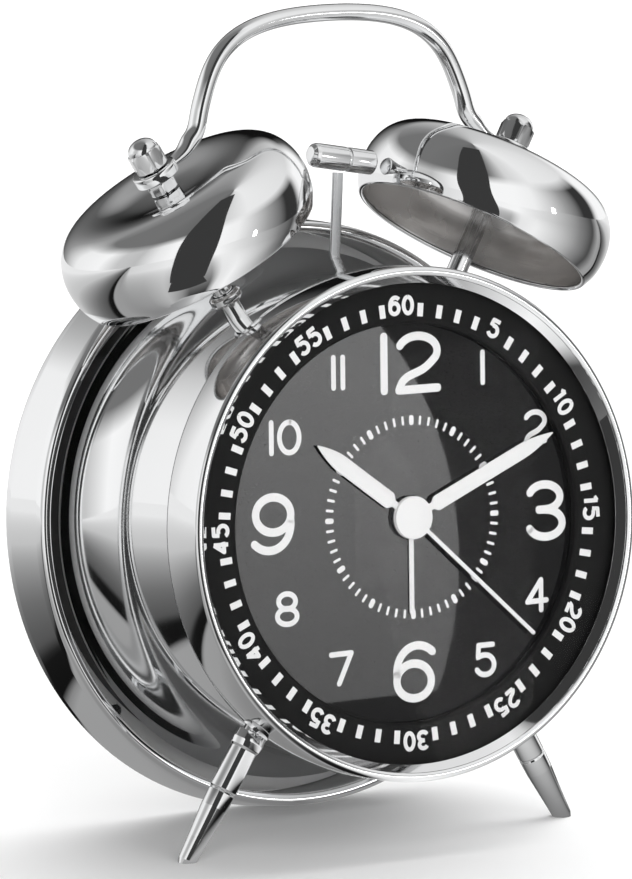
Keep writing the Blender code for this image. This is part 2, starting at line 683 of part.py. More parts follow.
def make_movement(root):
    """Movement case in two trays, the front one with the bush that passes through the dial."""
    x, z = HAND_AXIS_X, HAND_AXIS_Z
    outer = rounded_square(MOVEMENT_HALF, MOVEMENT_CORNER)
    inner = rounded_square(MOVEMENT_HALF - MOVEMENT_WALL, MOVEMENT_CORNER - MOVEMENT_WALL)

    mesh = prism_mesh("movement_front_case", outer, MOVEMENT_FRONT, MOVEMENT_SPLIT)
    front = add_object("movement_front_case", mesh, black_plastic(), root, at(x, 0.0, z))
    mesh = prism_mesh("front_hollow", inner, MOVEMENT_FRONT + MOVEMENT_WALL, MOVEMENT_SPLIT + MM)
    cut(front, add_object("front_hollow", mesh, steel(), root, at(x, 0.0, z)))
    mesh = turned_mesh("bush", bar(BUSH_OUTER, BUSH_FRONT, MOVEMENT_FRONT + 0.5 * MM), 20)
    unite(front, add_object("bush", mesh, steel(), root, along_y(x, 0.0, z)))
    mesh = turned_mesh("bush_bore", bar(BUSH_INNER, 0.0, MOVEMENT_FRONT + 3.0 * MM), 20)
    cut(front, add_object("bush_bore", mesh, steel(), root, along_y(x, 0.0, z)))

    mesh = prism_mesh("movement_rear_case", outer, MOVEMENT_SPLIT + GAP, MOVEMENT_BACK)
    rear = add_object("movement_rear_case", mesh, black_plastic(), root, at(x, 0.0, z))
    mesh = prism_mesh("rear_hollow", inner, MOVEMENT_SPLIT - MM, MOVEMENT_BACK - MOVEMENT_WALL)
    cut(rear, add_object("rear_hollow", mesh, steel(), root, at(x, 0.0, z)))
    for label, place in (("time", TIME_KNOB), ("alarm", ALARM_KNOB)):
        hole = bar(STEM_RADIUS + 2.0 * GAP, MOVEMENT_BACK - 5.0 * MM, MOVEMENT_BACK + 5.0 * MM)
        mesh = turned_mesh(label + "_stem_hole", hole, 12)
        drill = add_object(label + "_stem_hole", mesh, steel(), root,
                           along_y(place[0], 0.0, place[1]))
        cut(rear, drill)

    low = (x - 15.0 * MM, MOVEMENT_BACK + 1.5 * MM, z - 24.0 * MM)
    high = (x + 15.0 * MM, MOVEMENT_BACK + 2.7 * MM, z - 4.0 * MM)
    add_object("circuit_board", box_mesh("circuit_board", low, high), board_green(), root, at())
    low = (x - 16.0 * MM, MOVEMENT_FRONT + 3.0 * MM, z - 23.0 * MM)
    high = (x + 16.0 * MM, MOVEMENT_FRONT + 7.0 * MM, z - 15.0 * MM)
    mesh = box_mesh("stepper_coil", low, high, 0.8 * MM)
    add_object("stepper_coil", mesh, brass(), root, at())


def matched_radius(knob):
    """Radius of two equal wheels that just clear each other, one on the hands, one on a knob."""
    apart = math.hypot(knob[0] - HAND_AXIS_X, knob[1] - HAND_AXIS_Z)
    return (apart - GAP) / 2.0


def make_wheel(root, name, inner, outer, front, radius, level):
    """A wheel inside the movement with the tube or arbor on which its hand sits."""
    outline = [(inner, front), (outer, front), (outer, level), (radius, level),
               (radius, level + WHEEL_THICKNESS), (inner, level + WHEEL_THICKNESS)]
    mesh = turned_mesh(name, outline, 40, TOOTH_DEPTH)
    add_object(name, mesh, natural_plastic(), root, along_y(HAND_AXIS_X, 0.0, HAND_AXIS_Z))


def make_pinion(root, name, knob, level):
    """The wheel on a setting knob's stem, as large as the one it drives."""
    outline = tube(STEM_RADIUS + GAP, matched_radius(knob), level, level + WHEEL_THICKNESS)
    mesh = turned_mesh(name, outline, 40, TOOTH_DEPTH)
    add_object(name, mesh, natural_plastic(), root, along_y(knob[0], 0.0, knob[1]))


def make_wheels(root):
    make_wheel(root, "second_wheel", 0.0, 0.5 * MM, MINUTE_FRONT,
               SECOND_WHEEL_RADIUS, SECOND_WHEEL_FRONT)
    make_wheel(root, "minute_wheel", 0.8 * MM, 1.25 * MM, MINUTE_FRONT,
               matched_radius(TIME_KNOB), MINUTE_WHEEL_FRONT)
    make_wheel(root, "hour_wheel", 1.55 * MM, 2.0 * MM, HOUR_FRONT,
               HOUR_WHEEL_RADIUS, HOUR_WHEEL_FRONT)
    make_wheel(root, "alarm_wheel", 2.3 * MM, 2.75 * MM, ALARM_FRONT,
               matched_radius(ALARM_KNOB), ALARM_WHEEL_FRONT)
    make_pinion(root, "time_pinion", TIME_KNOB, MINUTE_WHEEL_FRONT)
    make_pinion(root, "alarm_pinion", ALARM_KNOB, ALARM_WHEEL_FRONT)


def hand_outline(length, half_width, neck_half, tip, hub):
    """Outline of a hand that points up: hub disc, waisted neck, straight blade, pointed tip."""
    neck_start = math.sqrt(hub * hub - neck_half * neck_half)
    right = [(neck_half, neck_start), (neck_half, neck_start + 0.9 * MM)]
    if half_width > neck_half:
        right.append((half_width, neck_start + 1.5 * MM))
    right += [(half_width, length - tip), (0.72 * half_width, length - 0.5 * tip),
              (0.2 * half_width, length)]
    left = [(-x, z) for x, z in reversed(right)]
    start = math.degrees(math.asin(neck_half / hub))
    around = arc(0.0, 0.0, hub, 90.0 + start, 450.0 - start, 22)[1:-1]
    return right + left + around


def make_hand(root, name, outline, front, turn, bore, finish):
    """A flat hand on its axis; its outline points to twelve before it is turned."""
    mesh = prism_mesh(name, outline, 0.0, HAND_THICKNESS)
    place = at(HAND_AXIS_X, front, HAND_AXIS_Z) @ Matrix.Rotation(turn, 4, "Y")
    hand = add_object(name, mesh, finish, root, place)
    if bore > 0.0:
        mesh = turned_mesh(name + "_bore", bar(bore, -MM, MM), 20)
        cut(hand, add_object(name + "_bore", mesh, steel(), root,
                             along_y(HAND_AXIS_X, front, HAND_AXIS_Z)))


def make_hands(root):
    white = white_enamel()
    outline = hand_outline(HOUR_LENGTH, 1.7 * MM, 0.9 * MM, 6.0 * MM, HUB_RADIUS)
    make_hand(root, "hour_hand", outline, HOUR_FRONT, HOUR_TURN, 2.3 * MM, white)
    outline = hand_outline(MINUTE_LENGTH, 1.55 * MM, 0.8 * MM, 7.0 * MM, HUB_RADIUS)
    make_hand(root, "minute_hand", outline, MINUTE_FRONT, MINUTE_TURN, 1.55 * MM, white)
    outline = hand_outline(SECOND_LENGTH, 0.4 * MM, 0.4 * MM, 0.4 * MM, HUB_RADIUS)
    make_hand(root, "second_hand", outline, SECOND_FRONT, SECOND_TURN, 0.0, white)
    outline = hand_outline(ALARM_LENGTH, 0.55 * MM, 0.55 * MM, 0.5 * MM, HUB_RADIUS - 0.5 * MM)
    make_hand(root, "alarm_hand", outline, ALARM_FRONT, ALARM_TURN, 3.05 * MM, white)


# ---------------------------------------------------------------- bells, posts and handle

def bell_profile():
    """Section of a bell: rolled rim, bulging wall, shallow dished crown and a bored seat.

    Heights are from the case axis along the post.
    """
    rim = BELL_RIM_HEIGHT
    bore = BORE_RADIUS
    outer = [(26.3, 2.4), (26.9, 5.2), (26.9, 8.2), (26.3, 11.2), (24.8, 14.0), (22.4, 16.0),
             (19.0, 17.1), (13.2, 16.9), (9.0, 16.3), (5.2, 16.0)]
    outer = [(BELL_RIM_RADIUS, 0.0)] + [(radius * MM, height * MM) for radius, height in outer]
    outer.append((bore, BELL_SEAT_HEIGHT))
    inner = []
    for index in range(len(outer) - 1, -1, -1):
        radius, height = outer[index]
        if index == len(outer) - 1:
            inner.append((bore, height - BELL_WALL))
            continue
        before = Vector(outer[max(index - 1, 0)])
        after = Vector(outer[index + 1])
        run = (after - before).normalized()
        inward = Vector((-run.y, run.x))
        point = Vector((radius, height)) + inward * BELL_WALL
        inner.append((point.x, max(point.y, 0.0)))
    return [(radius, rim + height) for radius, height in outer + inner]


def make_bells(root):
    seat = BELL_RIM_HEIGHT + BELL_SEAT_HEIGHT
    for side, label in ((-1, "left"), (1, "right")):
        place = radial(side * BELL_ANGLE, BELL_Y)
        mesh = turned_mesh(label + "_bell", bell_profile(), BELL_SIDES)
        add_object(label + "_bell", mesh, chrome(), root, place)

        shoulder = seat - BELL_WALL - GAP
        eye = seat + GAP + SPACER_HEIGHT + GAP
        nut = eye + EYE_THICKNESS + GAP
        outline = [(0.0, 44.5 * MM), (POST_RADIUS, 44.5 * MM), (POST_RADIUS, shoulder),
                   (STUD_RADIUS, shoulder), (STUD_RADIUS, nut + NUT_HEX_HEIGHT - MM),
                   (0.0, nut + NUT_HEX_HEIGHT - MM)]
        mesh = turned_mesh(label + "_bell_post", outline, SMALL_SIDES)
        add_object(label + "_bell_post", mesh, chrome(), root, place)

        mesh = turned_mesh(label + "_post_collar", collar_profile(), 20)
        add_object(label + "_post_collar", mesh, chrome(), root, place)
        mesh = hex_mesh(label + "_post_nut", 3.9 * MM, 45.3 * MM, 47.7 * MM, POST_RADIUS + GAP)
        add_object(label + "_post_nut", mesh, steel(), root, place)

        mesh = hex_mesh(label + "_spacer", 3.3 * MM, seat + GAP, seat + GAP + SPACER_HEIGHT,
                        BORE_RADIUS)
        add_object(label + "_spacer", mesh, chrome(), root, place)
        make_acorn_nut(root, label + "_acorn_nut", nut, place)


def collar_profile():
    """Round collar nut that locks the post against the drum."""
    low = 53.2 * MM
    high = 55.4 * MM
    edge = 0.5 * MM
    return [(POST_RADIUS + GAP, low), (3.0 * MM, low), (3.4 * MM, low + edge),
            (3.4 * MM, high - edge), (3.0 * MM, high), (POST_RADIUS + GAP, high)]


def make_acorn_nut(root, name, low, place):
    """Hexagonal nut closed by a dome, with a blind bore."""
    shape = bmesh.new()
    top = low + NUT_HEX_HEIGHT
    dome = 3.1 * MM
    chamfer = 0.4 * MM
    levels = [(NUT_CORNER_RADIUS - chamfer, low), (NUT_CORNER_RADIUS, low + chamfer),
              (NUT_CORNER_RADIUS, top - chamfer), (NUT_CORNER_RADIUS - chamfer, top)]
    rings = [hex_ring(shape, radius, height) for radius, height in levels]
    for step in range(3):
        turn = math.radians(30.0 * step)
        height = top + NUT_DOME_HEIGHT * math.sin(turn)
        rings.append(ring_of(shape, dome * math.cos(turn), height, 12, 0.0))
    rings.append(ring_of(shape, 0.0, top + NUT_DOME_HEIGHT, 12, 0.0))
    end = top - MM + GAP
    rings.append([shape.verts.new((0.0, 0.0, end))])
    rings.append(ring_of(shape, BORE_RADIUS, end, 12, 0.0))
    rings.append(ring_of(shape, BORE_RADIUS, low, 12, 0.0))
    for index in range(len(rings)):
        following = rings[(index + 1) % len(rings)]
        if len(rings[index]) > 1 or len(following) > 1:
            join_rings(shape, rings[index], following)
    add_object(name, close_mesh(name, shape), chrome(), root, place)


def handle_path():
    """Centre line of the handle from the left eye over the top to the right eye.

    The feet run square to the posts under the acorn nuts, then the bar turns up into two legs
    that lean in slightly and meet in a flattened arch.
    """
    eye = BELL_RIM_HEIGHT + BELL_SEAT_HEIGHT + SPACER_HEIGHT + 2.0 * GAP + EYE_THICKNESS / 2.0
    out = Vector((math.sin(BELL_ANGLE), math.cos(BELL_ANGLE)))
    along = Vector((math.cos(BELL_ANGLE), -math.sin(BELL_ANGLE)))
    foot = out * eye
    lift = out * (0.25 * MM)
    right = [foot - along * (2.9 * MM), foot - along * (5.4 * MM),
             foot - along * (7.6 * MM) + lift, foot - along * (9.8 * MM) + out * (1.1 * MM)]
    right += [Vector(point) * MM for point in
              ((32.6, 80.2), (31.4, 83.8), (30.0, 88.0), (28.4, 92.0), (26.0, 95.6),
               (22.2, 98.8), (16.6, 101.2), (9.8, 102.5), (3.2, 102.9))]
    left = [Vector((-point.x, point.y)) for point in right]
    return left + right[::-1]


def make_handle(root):
    """One bent bar of oval section whose two ends are flattened into bored eyes."""
    path = handle_path()
    sides = 10
    shape = bmesh.new()
    rings = []
    for index, point in enumerate(path):
        before = path[max(index - 1, 0)]
        after = path[min(index + 1, len(path) - 1)]
        run = (after - before).normalized()
        across = Vector((-run.y, run.x))
        from_end = min(index, len(path) - 1 - index)
        half_height = FOOT_HEIGHTS[from_end] if from_end < len(FOOT_HEIGHTS) else HANDLE_HEIGHT
        ring = []
        for side in range(sides):
            turn = 2.0 * math.pi * (side + 0.5) / sides
            spot = point + across * (half_height * math.cos(turn))
            ring.append(shape.verts.new((spot.x, HANDLE_WIDTH * math.sin(turn), spot.y)))
        rings.append(ring)
    for index in range(len(rings) - 1):
        join_rings(shape, rings[index], rings[index + 1])
    shape.faces.new(rings[0])
    shape.faces.new(rings[-1])
    handle = add_object("handle", close_mesh("handle", shape), chrome(), root, at(0.0, BELL_Y, 0.0))

    low = BELL_RIM_HEIGHT + BELL_SEAT_HEIGHT + SPACER_HEIGHT + 2.0 * GAP
    for side, label in ((-1, "left"), (1, "right")):
        place = radial(side * BELL_ANGLE, BELL_Y)
        mesh = turned_mesh(label + "_eye", bar(EYE_RADIUS, low, low + EYE_THICKNESS), 20)
        unite(handle, add_object(label + "_eye", mesh, chrome(), root, place))
        mesh = turned_mesh(label + "_eye_bore", bar(BORE_RADIUS, low - MM, low + 4.0 * MM), 12)
        cut(handle, add_object(label + "_eye_bore", mesh, chrome(), root, place))


# ---------------------------------------------------------------- strike work

def make_hammer(root):
    """Hammer arm, head and pivot pin, with the motor, its crank and its bracket."""
    hinge = Matrix.Translation(HAMMER_PIVOT) @ Matrix.Rotation(HAMMER_REST_TILT, 4, "Y")
    half = ARM_WIDTH / 2.0
    thin = ARM_THICKNESS
    jog = 2.6 * MM
    side_view = [(0.0, -9.0 * MM), (0.0, 10.6 * MM), (jog, 13.6 * MM), (jog, 30.6 * MM)]
    shape = bmesh.new()
    rings = []
    for y, z in side_view:
        rings.append([shape.verts.new((-half, y, z)), shape.verts.new((half, y, z)),
                      shape.verts.new((half, y + thin, z)), shape.verts.new((-half, y + thin, z))])
    for index in range(len(rings) - 1):
        join_rings(shape, rings[index], rings[index + 1])
    shape.faces.new(rings[0])
    shape.faces.new(rings[-1])
    arm = add_object("hammer_arm", close_mesh("hammer_arm", shape), steel(), root, hinge)
    boss_place = hinge @ along_y(0.0, -0.4 * MM, 0.0)
    mesh = turned_mesh("arm_boss", bar(2.6 * MM, 0.0, 1.5 * MM), 16)
    unite(arm, add_object("arm_boss", mesh, steel(), root, boss_place))
    mesh = turned_mesh("arm_bore", bar(1.0 * MM + GAP, -3.0 * MM, 5.0 * MM), 16)
    cut(arm, add_object("arm_bore", mesh, steel(), root, boss_place))

    middle = jog + thin / 2.0
    place = hinge @ at(0.6 * MM, middle, 31.0 * MM + HAMMER_HEAD_RADIUS)
    place = place @ Matrix.Rotation(math.pi / 2.0 + HAMMER_HEAD_TILT - HAMMER_REST_TILT, 4, "Y")
    reach = HAMMER_HEAD_LENGTH / 2.0
    radius = HAMMER_HEAD_RADIUS
    groove = 0.25 * MM
    outline = [(0.0, -reach), (radius - 0.9 * MM, -reach + 0.15 * MM),
               (radius - 0.25 * MM, -reach + 0.7 * MM), (radius, -reach + 1.5 * MM),
               (radius, 0.8 * MM), (radius - groove, MM), (radius - groove, 1.3 * MM),
               (radius, 1.5 * MM), (radius, reach - 0.3 * MM), (radius - 0.3 * MM, reach),
               (0.0, reach)]
    mesh = turned_mesh("hammer_head", outline, SMALL_SIDES)
    add_object("hammer_head", mesh, chrome(), root, place)

    pin = [(0.0, 17.2 * MM), (1.7 * MM, 17.2 * MM), (1.7 * MM, 18.3 * MM), (MM, 18.3 * MM),
           (MM, BRACKET_FRONT - GAP), (0.0, BRACKET_FRONT - GAP)]
    mesh = turned_mesh("hammer_pin", pin, 12)
    add_object("hammer_pin", mesh, steel(), root, along_y(HAMMER_PIVOT.x, 0.0, HAMMER_PIVOT.z))
    make_motor(root)


def make_motor(root):
    x = HAMMER_PIVOT.x
    z = MOTOR_Z
    outline = [(0.0, 23.0 * MM), (SHAFT_RADIUS, 23.0 * MM), (SHAFT_RADIUS, BRACKET_BACK + GAP),
               (MOTOR_RADIUS, BRACKET_BACK + GAP), (MOTOR_RADIUS, 44.0 * MM),
               (3.0 * MM, 44.0 * MM), (3.0 * MM, 45.5 * MM), (0.0, 45.5 * MM)]
    mesh = turned_mesh("hammer_motor", outline, 24)
    add_object("hammer_motor", mesh, steel(), root, along_y(x, 0.0, z))

    low = (x - 11.0 * MM, BRACKET_FRONT, 21.5 * MM)
    high = (x + 11.0 * MM, BRACKET_BACK, 46.5 * MM)
    bracket = add_object("motor_bracket", box_mesh("motor_bracket", low, high, 0.3 * MM), steel(),
                         root, at())
    mesh = turned_mesh("shaft_hole", bar(SHAFT_RADIUS + 2.0 * GAP, 22.0 * MM, 28.0 * MM), 12)
    cut(bracket, add_object("shaft_hole", mesh, steel(), root, along_y(x, 0.0, z)))

    outline = [(SHAFT_RADIUS + GAP, 22.2 * MM), (4.0 * MM, 22.2 * MM), (4.0 * MM, 23.8 * MM),
               (SHAFT_RADIUS + GAP, 23.8 * MM)]
    mesh = turned_mesh("crank_disc", outline, 20)
    crank = add_object("crank_disc", mesh, natural_plastic(), root, along_y(x, 0.0, z))
    mesh = turned_mesh("crank_peg", bar(0.7 * MM, 21.0 * MM, 22.6 * MM), 10)
    unite(crank, add_object("crank_peg", mesh, steel(), root, along_y(x + 2.6 * MM, 0.0, z)))


# ---------------------------------------------------------------- legs and lamp

def make_legs(root, drop):
    """Two turned legs, each held by a nut inside the drum and cut flat where it meets the floor."""
    length = (LEG_TIP - LEG_ROOT).length
    radius = LEG_RADIUS
    half = 14.2 * MM
    outline = [(0.0, -6.5 * MM), (LEG_STUD_RADIUS, -6.5 * MM), (LEG_STUD_RADIUS, 1.2 * MM),
               (3.3 * MM, 1.2 * MM), (3.4 * MM, 3.0 * MM), (3.2 * MM, 4.4 * MM),
               (radius, 4.9 * MM), (radius, half - 0.3 * MM), (radius - 0.25 * MM, half),
               (radius, half + 0.3 * MM), (radius - 0.15 * MM, 18.0 * MM),
               (radius - 0.7 * MM, 25.0 * MM), (1.9 * MM, length - 1.2 * MM),
               (1.5 * MM, length), (0.9 * MM, length + 0.9 * MM), (0.0, length + 1.2 * MM)]
    for side, label in ((-1, "left"), (1, "right")):
        start, end = leg_axis(side)
        place = toward(start, end)
        mesh = turned_mesh(label + "_leg", outline, SMALL_SIDES)
        shape = bmesh.new()
        shape.from_mesh(mesh)
        down = Vector((0.0, math.sin(LEAN), -math.cos(LEAN)))
        normal = place.to_3x3().inverted() @ down
        point = place.inverted() @ (down * drop)
        cutting = bmesh.ops.bisect_plane(shape, geom=shape.verts[:] + shape.edges[:] + shape.faces[:],
                                         plane_co=point, plane_no=normal, clear_outer=True)
        rim = [item for item in cutting["geom_cut"] if isinstance(item, bmesh.types.BMEdge)]
        bmesh.ops.edgeloop_fill(shape, edges=rim)
        mesh = close_mesh(label + "_leg", shape)
        add_object(label + "_leg", mesh, chrome(), root, place)
        mesh = hex_mesh(label + "_leg_nut", 3.9 * MM, -4.6 * MM, -2.2 * MM, LEG_STUD_RADIUS + GAP)
        add_object(label + "_leg_nut", mesh, steel(), root, place)


def make_lamp(root):
    """Lamp for the dial, behind the top of the ring, with a domed front."""
    outline = [(0.0, 3.6 * MM), (1.0 * MM, 3.8 * MM), (1.5 * MM, 4.6 * MM), (1.5 * MM, 8.0 * MM),
               (2.0 * MM, 8.0 * MM), (2.0 * MM, 9.0 * MM), (0.0, 9.0 * MM)]
    mesh = turned_mesh("dial_lamp", outline, 12)
    add_object("dial_lamp", mesh, natural_plastic(), root, along_y(0.0, 0.0, 36.0 * MM))


# ---------------------------------------------------------------- assembly

def solid_objects():
    """Every mesh or curve that is part of the clock, without the cutters."""
    return [item for item in bpy.data.objects
            if item.type in {"MESH", "CURVE"} and not item.hide_render]


def centre_on_floor(root):
    """Move the clock so that the middle of its bounding box is over the origin."""
    bpy.context.view_layer.update()
    graph = bpy.context.evaluated_depsgraph_get()
    low = Vector((1.0, 1.0, 1.0))
    high = Vector((-1.0, -1.0, -1.0))
    for item in solid_objects():
        shape = item.evaluated_get(graph)
        mesh = shape.to_mesh()
        for vertex in mesh.vertices:
            spot = item.matrix_world @ vertex.co
            low = Vector(map(min, low, spot))
            high = Vector(map(max, high, spot))
        shape.to_mesh_clear()
    middle = (low + high) / 2.0
    root.location -= Vector((middle.x, middle.y, low.z))


def main():
    for item in list(bpy.data.objects):
        bpy.data.objects.remove(item, do_unlink=True)
    root = bpy.data.objects.new("clock", None)
    bpy.context.scene.collection.objects.link(root)
    drop = floor_drop()
    root.rotation_euler = (-LEAN, 0.0, 0.0)
    root.location = (0.0, 0.0, drop)
    make_front(root)
    make_case(root)
    make_cover(root)
    make_knob(root, "time_set_knob", TIME_KNOB, MINUTE_WHEEL_FRONT)
    make_knob(root, "alarm_set_knob", ALARM_KNOB, ALARM_WHEEL_FRONT)
    make_switch(root)
    make_button(root)
    make_power(root)
    make_movement(root)
    make_wheels(root)
    make_hands(root)
    make_bells(root)
    make_handle(root)
    make_hammer(root)
    make_legs(root, drop)
    make_lamp(root)
    centre_on_floor(root)


main()
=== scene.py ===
"""Looks of the twin-bell alarm clock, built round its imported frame.

Sizes are millimetres in the clock's own frame: origin on the case axis at the face of the minute
ring, x to the right seen from the front, y to the back, z up.  The clock leans back on its legs.
"""
import math

import bmesh
import bpy
import numpy as np
from mathutils import Matrix, Vector


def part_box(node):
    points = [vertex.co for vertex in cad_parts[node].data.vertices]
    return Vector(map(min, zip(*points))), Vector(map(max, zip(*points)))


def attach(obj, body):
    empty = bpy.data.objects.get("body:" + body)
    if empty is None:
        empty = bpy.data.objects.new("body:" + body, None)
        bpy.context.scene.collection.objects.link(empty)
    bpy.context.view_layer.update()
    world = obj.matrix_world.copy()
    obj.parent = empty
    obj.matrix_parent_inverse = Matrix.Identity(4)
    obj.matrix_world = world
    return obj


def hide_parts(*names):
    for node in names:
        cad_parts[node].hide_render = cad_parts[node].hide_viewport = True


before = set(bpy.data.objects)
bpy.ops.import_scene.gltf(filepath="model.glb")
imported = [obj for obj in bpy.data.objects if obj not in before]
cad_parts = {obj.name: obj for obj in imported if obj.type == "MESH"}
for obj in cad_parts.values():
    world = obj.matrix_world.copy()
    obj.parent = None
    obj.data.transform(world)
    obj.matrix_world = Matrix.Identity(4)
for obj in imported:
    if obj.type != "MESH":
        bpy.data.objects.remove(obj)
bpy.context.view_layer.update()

MM = 0.001
LEAN = math.radians(6.0)
LENS_MIDDLE = -1.05                 # y of the lens's middle plane
CASE = "case"                       # the body of everything that does not move

# ---- place of the clock


def clock_place():
    """Matrix from the clock frame in metres to the row frame, read from the lens's box."""
    low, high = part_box("lens")
    turn = Matrix.Rotation(-LEAN, 4, "X")
    middle = (low + high) / 2.0
    origin = middle - turn @ Vector((0.0, LENS_MIDDLE * MM, 0.0))
    return Matrix.Translation(origin) @ turn


CLOCK = clock_place()


def along_y(x=0.0, y=0.0, z=0.0):
    """Place whose local Z runs to the back, local X to the right."""
    return Matrix.Translation(Vector((x, y, z)) * MM) @ Matrix.Rotation(-math.pi / 2.0, 4, "X")


def at(x=0.0, y=0.0, z=0.0):
    return Matrix.Translation(Vector((x, y, z)) * MM)


def radial(angle, y):
    """Place whose local Z points away from the case axis, turned clockwise from straight up."""
    return at(0.0, y, 0.0) @ Matrix.Rotation(angle, 4, "Y")


def toward(start, end):
    """Place at start whose local Z points to end."""
    run = (Vector(end) - Vector(start)).normalized()
    return at(*start) @ run.to_track_quat("Z", "Y").to_matrix().to_4x4()


# ---- outlines

def oval(centre_x, centre_y, radius_x, radius_y, start, end, steps):
    """Points on an upright oval, angles in degrees."""
    points = []
    for index in range(steps + 1):
        turn = math.radians(start + (end - start) * index / steps)
        points.append((centre_x + radius_x * math.cos(turn), centre_y + radius_y * math.sin(turn)))
    return points


def arc(centre_x, centre_y, radius, start, end, steps):
    """Points on a circular arc, angles in degrees."""
    return oval(centre_x, centre_y, radius, radius, start, end, steps)


def rounded(points, closed=True, steps=4):
    """Round the corners of an outline.  Each point is (x, y) or (x, y, corner radius)."""
    result = []
    count = len(points)
    for index, point in enumerate(points):
        corner = Vector(point[:2])
        radius = point[2] if len(point) > 2 else 0.0
        open_end = not closed and index in (0, count - 1)
        if radius <= 0.0 or open_end:
            result.append(tuple(corner))
            continue
        before = Vector(points[index - 1][:2]) - corner
        after = Vector(points[(index + 1) % count][:2]) - corner
        half = before.angle(after) / 2.0
        reach = min(radius / math.tan(half), 0.49 * before.length, 0.49 * after.length)
        start = corner + before.normalized() * reach
        end = corner + after.normalized() * reach
        for step in range(steps + 1):
            part = step / steps
            spot = start * (1.0 - part) ** 2 + corner * 2.0 * part * (1.0 - part) + end * part ** 2
            result.append(tuple(spot))
    return result


def left_of(run):
    """The direction a quarter turn anticlockwise from a flat one."""
    return Vector((-run.y, run.x))


def smooth_curve(points, steps):
    """Natural cubic spline through points of any dimension: even curvature, so clean reflections."""
    points = np.array(points, float)
    gaps = np.linalg.norm(np.diff(points, axis=0), axis=1)
    count = len(points)
    system = np.eye(count)
    target = np.zeros_like(points)
    slopes = np.diff(points, axis=0) / gaps[:, None]
    for index in range(1, count - 1):
        system[index, index - 1] = gaps[index - 1]
        system[index, index] = 2.0 * (gaps[index - 1] + gaps[index])
        system[index, index + 1] = gaps[index]
        target[index] = 6.0 * (slopes[index] - slopes[index - 1])
    bends = np.linalg.solve(system, target)
    result = []
    for index in range(count - 1):
        gap = gaps[index]
        for step in range(steps):
            near = step / steps
            far = 1.0 - near
            spot = points[index] * far + points[index + 1] * near
            spot = spot + gap ** 2 / 6.0 * ((far ** 3 - far) * bends[index]
                                            + (near ** 3 - near) * bends[index + 1])
            result.append(tuple(spot))
    result.append(tuple(points[-1]))
    return result


# ---- meshes

def finish_mesh(name, shape, sharp=32.0):
    bmesh.ops.remove_doubles(shape, verts=shape.verts, dist=1e-7)
    bmesh.ops.recalc_face_normals(shape, faces=shape.faces)
    mesh = bpy.data.meshes.new(name)
    shape.to_mesh(mesh)
    shape.free()
    mesh.shade_smooth()
    mesh.set_sharp_from_angle(angle=math.radians(sharp))
    return mesh


def new_object(name, data, place):
    """Link a mesh, camera or lamp into the scene at a place in the row frame."""
    item = bpy.data.objects.new(name, data)
    bpy.context.scene.collection.objects.link(item)
    item.matrix_world = place
    return item


def add_piece(name, mesh, materials, body, place, node, slot):
    """Put a mesh in the clock, and tell the frame what it rides on and which node it replaces."""
    for material in materials if isinstance(materials, tuple) else (materials,):
        mesh.materials.append(material)
    piece = new_object(name, mesh, CLOCK @ place)
    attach(piece, body)
    if node:
        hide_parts(node)
    return piece


def link_rings(shape, low, high):
    count = max(len(low), len(high))
    for index in range(count):
        after = (index + 1) % count
        corners = [low[index % len(low)], low[after % len(low)],
                   high[after % len(high)], high[index % len(high)]]
        corners = list(dict.fromkeys(corners))
        if len(corners) > 2:
            shape.faces.new(corners)


def lathe(name, profile, segments, wave=None, sharp=32.0, closed=None):
    """Turn an outline of (radius, height) round local Z.

    The outline starts and ends on the axis, or is a closed loop.  wave(turn, radius, height) may
    move a point's radius.
    """
    shape = bmesh.new()
    if closed is None:
        closed = profile[0][0] > 1e-6
    rings = []
    for radius, height in profile:
        if radius < 1e-6:
            rings.append([shape.verts.new((0.0, 0.0, height * MM))])
            continue
        ring = []
        for index in range(segments):
            turn = 2.0 * math.pi * index / segments
            reach = radius + (wave(turn, radius, height) if wave else 0.0)
            ring.append(shape.verts.new((reach * MM * math.cos(turn), reach * MM * math.sin(turn),
                                         height * MM)))
        rings.append(ring)
    pairs = len(rings) if closed else len(rings) - 1
    for index in range(pairs):
        link_rings(shape, rings[index], rings[(index + 1) % len(rings)])
    return finish_mesh(name, shape, sharp)


def add_turned(name, outline, segments, material, place, node, slot, body=CASE, **turning):
    """Turn an outline and put it in the clock; turning goes on to lathe."""
    mesh = lathe(name, outline, segments, **turning)
    return add_piece(name, mesh, material, body, place, node, slot)


def loft(name, rings, sharp=32.0):
    """A closed skin over rings of (x, y, z) points, all with the same number of points."""
    shape = bmesh.new()
    made = [[shape.verts.new(Vector(point) * MM) for point in ring] for ring in rings]
    for low, high in zip(made, made[1:]):
        link_rings(shape, low, high)
    shape.faces.new(made[0])
    shape.faces.new(made[-1])
    return finish_mesh(name, shape, sharp)


def plate(name, outline, front, back, edge=0.0):
    """A flat part with an outline of (x, z), from y front to y back, its front edge rounded."""
    outline = [Vector(point) for point in outline]
    count = len(outline)
    area = sum(outline[index - 1].cross(outline[index]) for index in range(count))
    side = 1.0 if area > 0.0 else -1.0
    inner = []
    for index, point in enumerate(outline):
        run = (outline[(index + 1) % count] - outline[index - 1]).normalized()
        inner.append(point + left_of(run) * edge * side)
    levels = [(outline, back), (outline, front + edge)]
    if edge > 0.0:
        middle = [point * 0.7 + other * 0.3 for point, other in zip(outline, inner)]
        levels += [(middle, front + 0.3 * edge), (inner, front)]
    return loft(name, [[(point.x, y, point.y) for point in ring] for ring, y in levels])


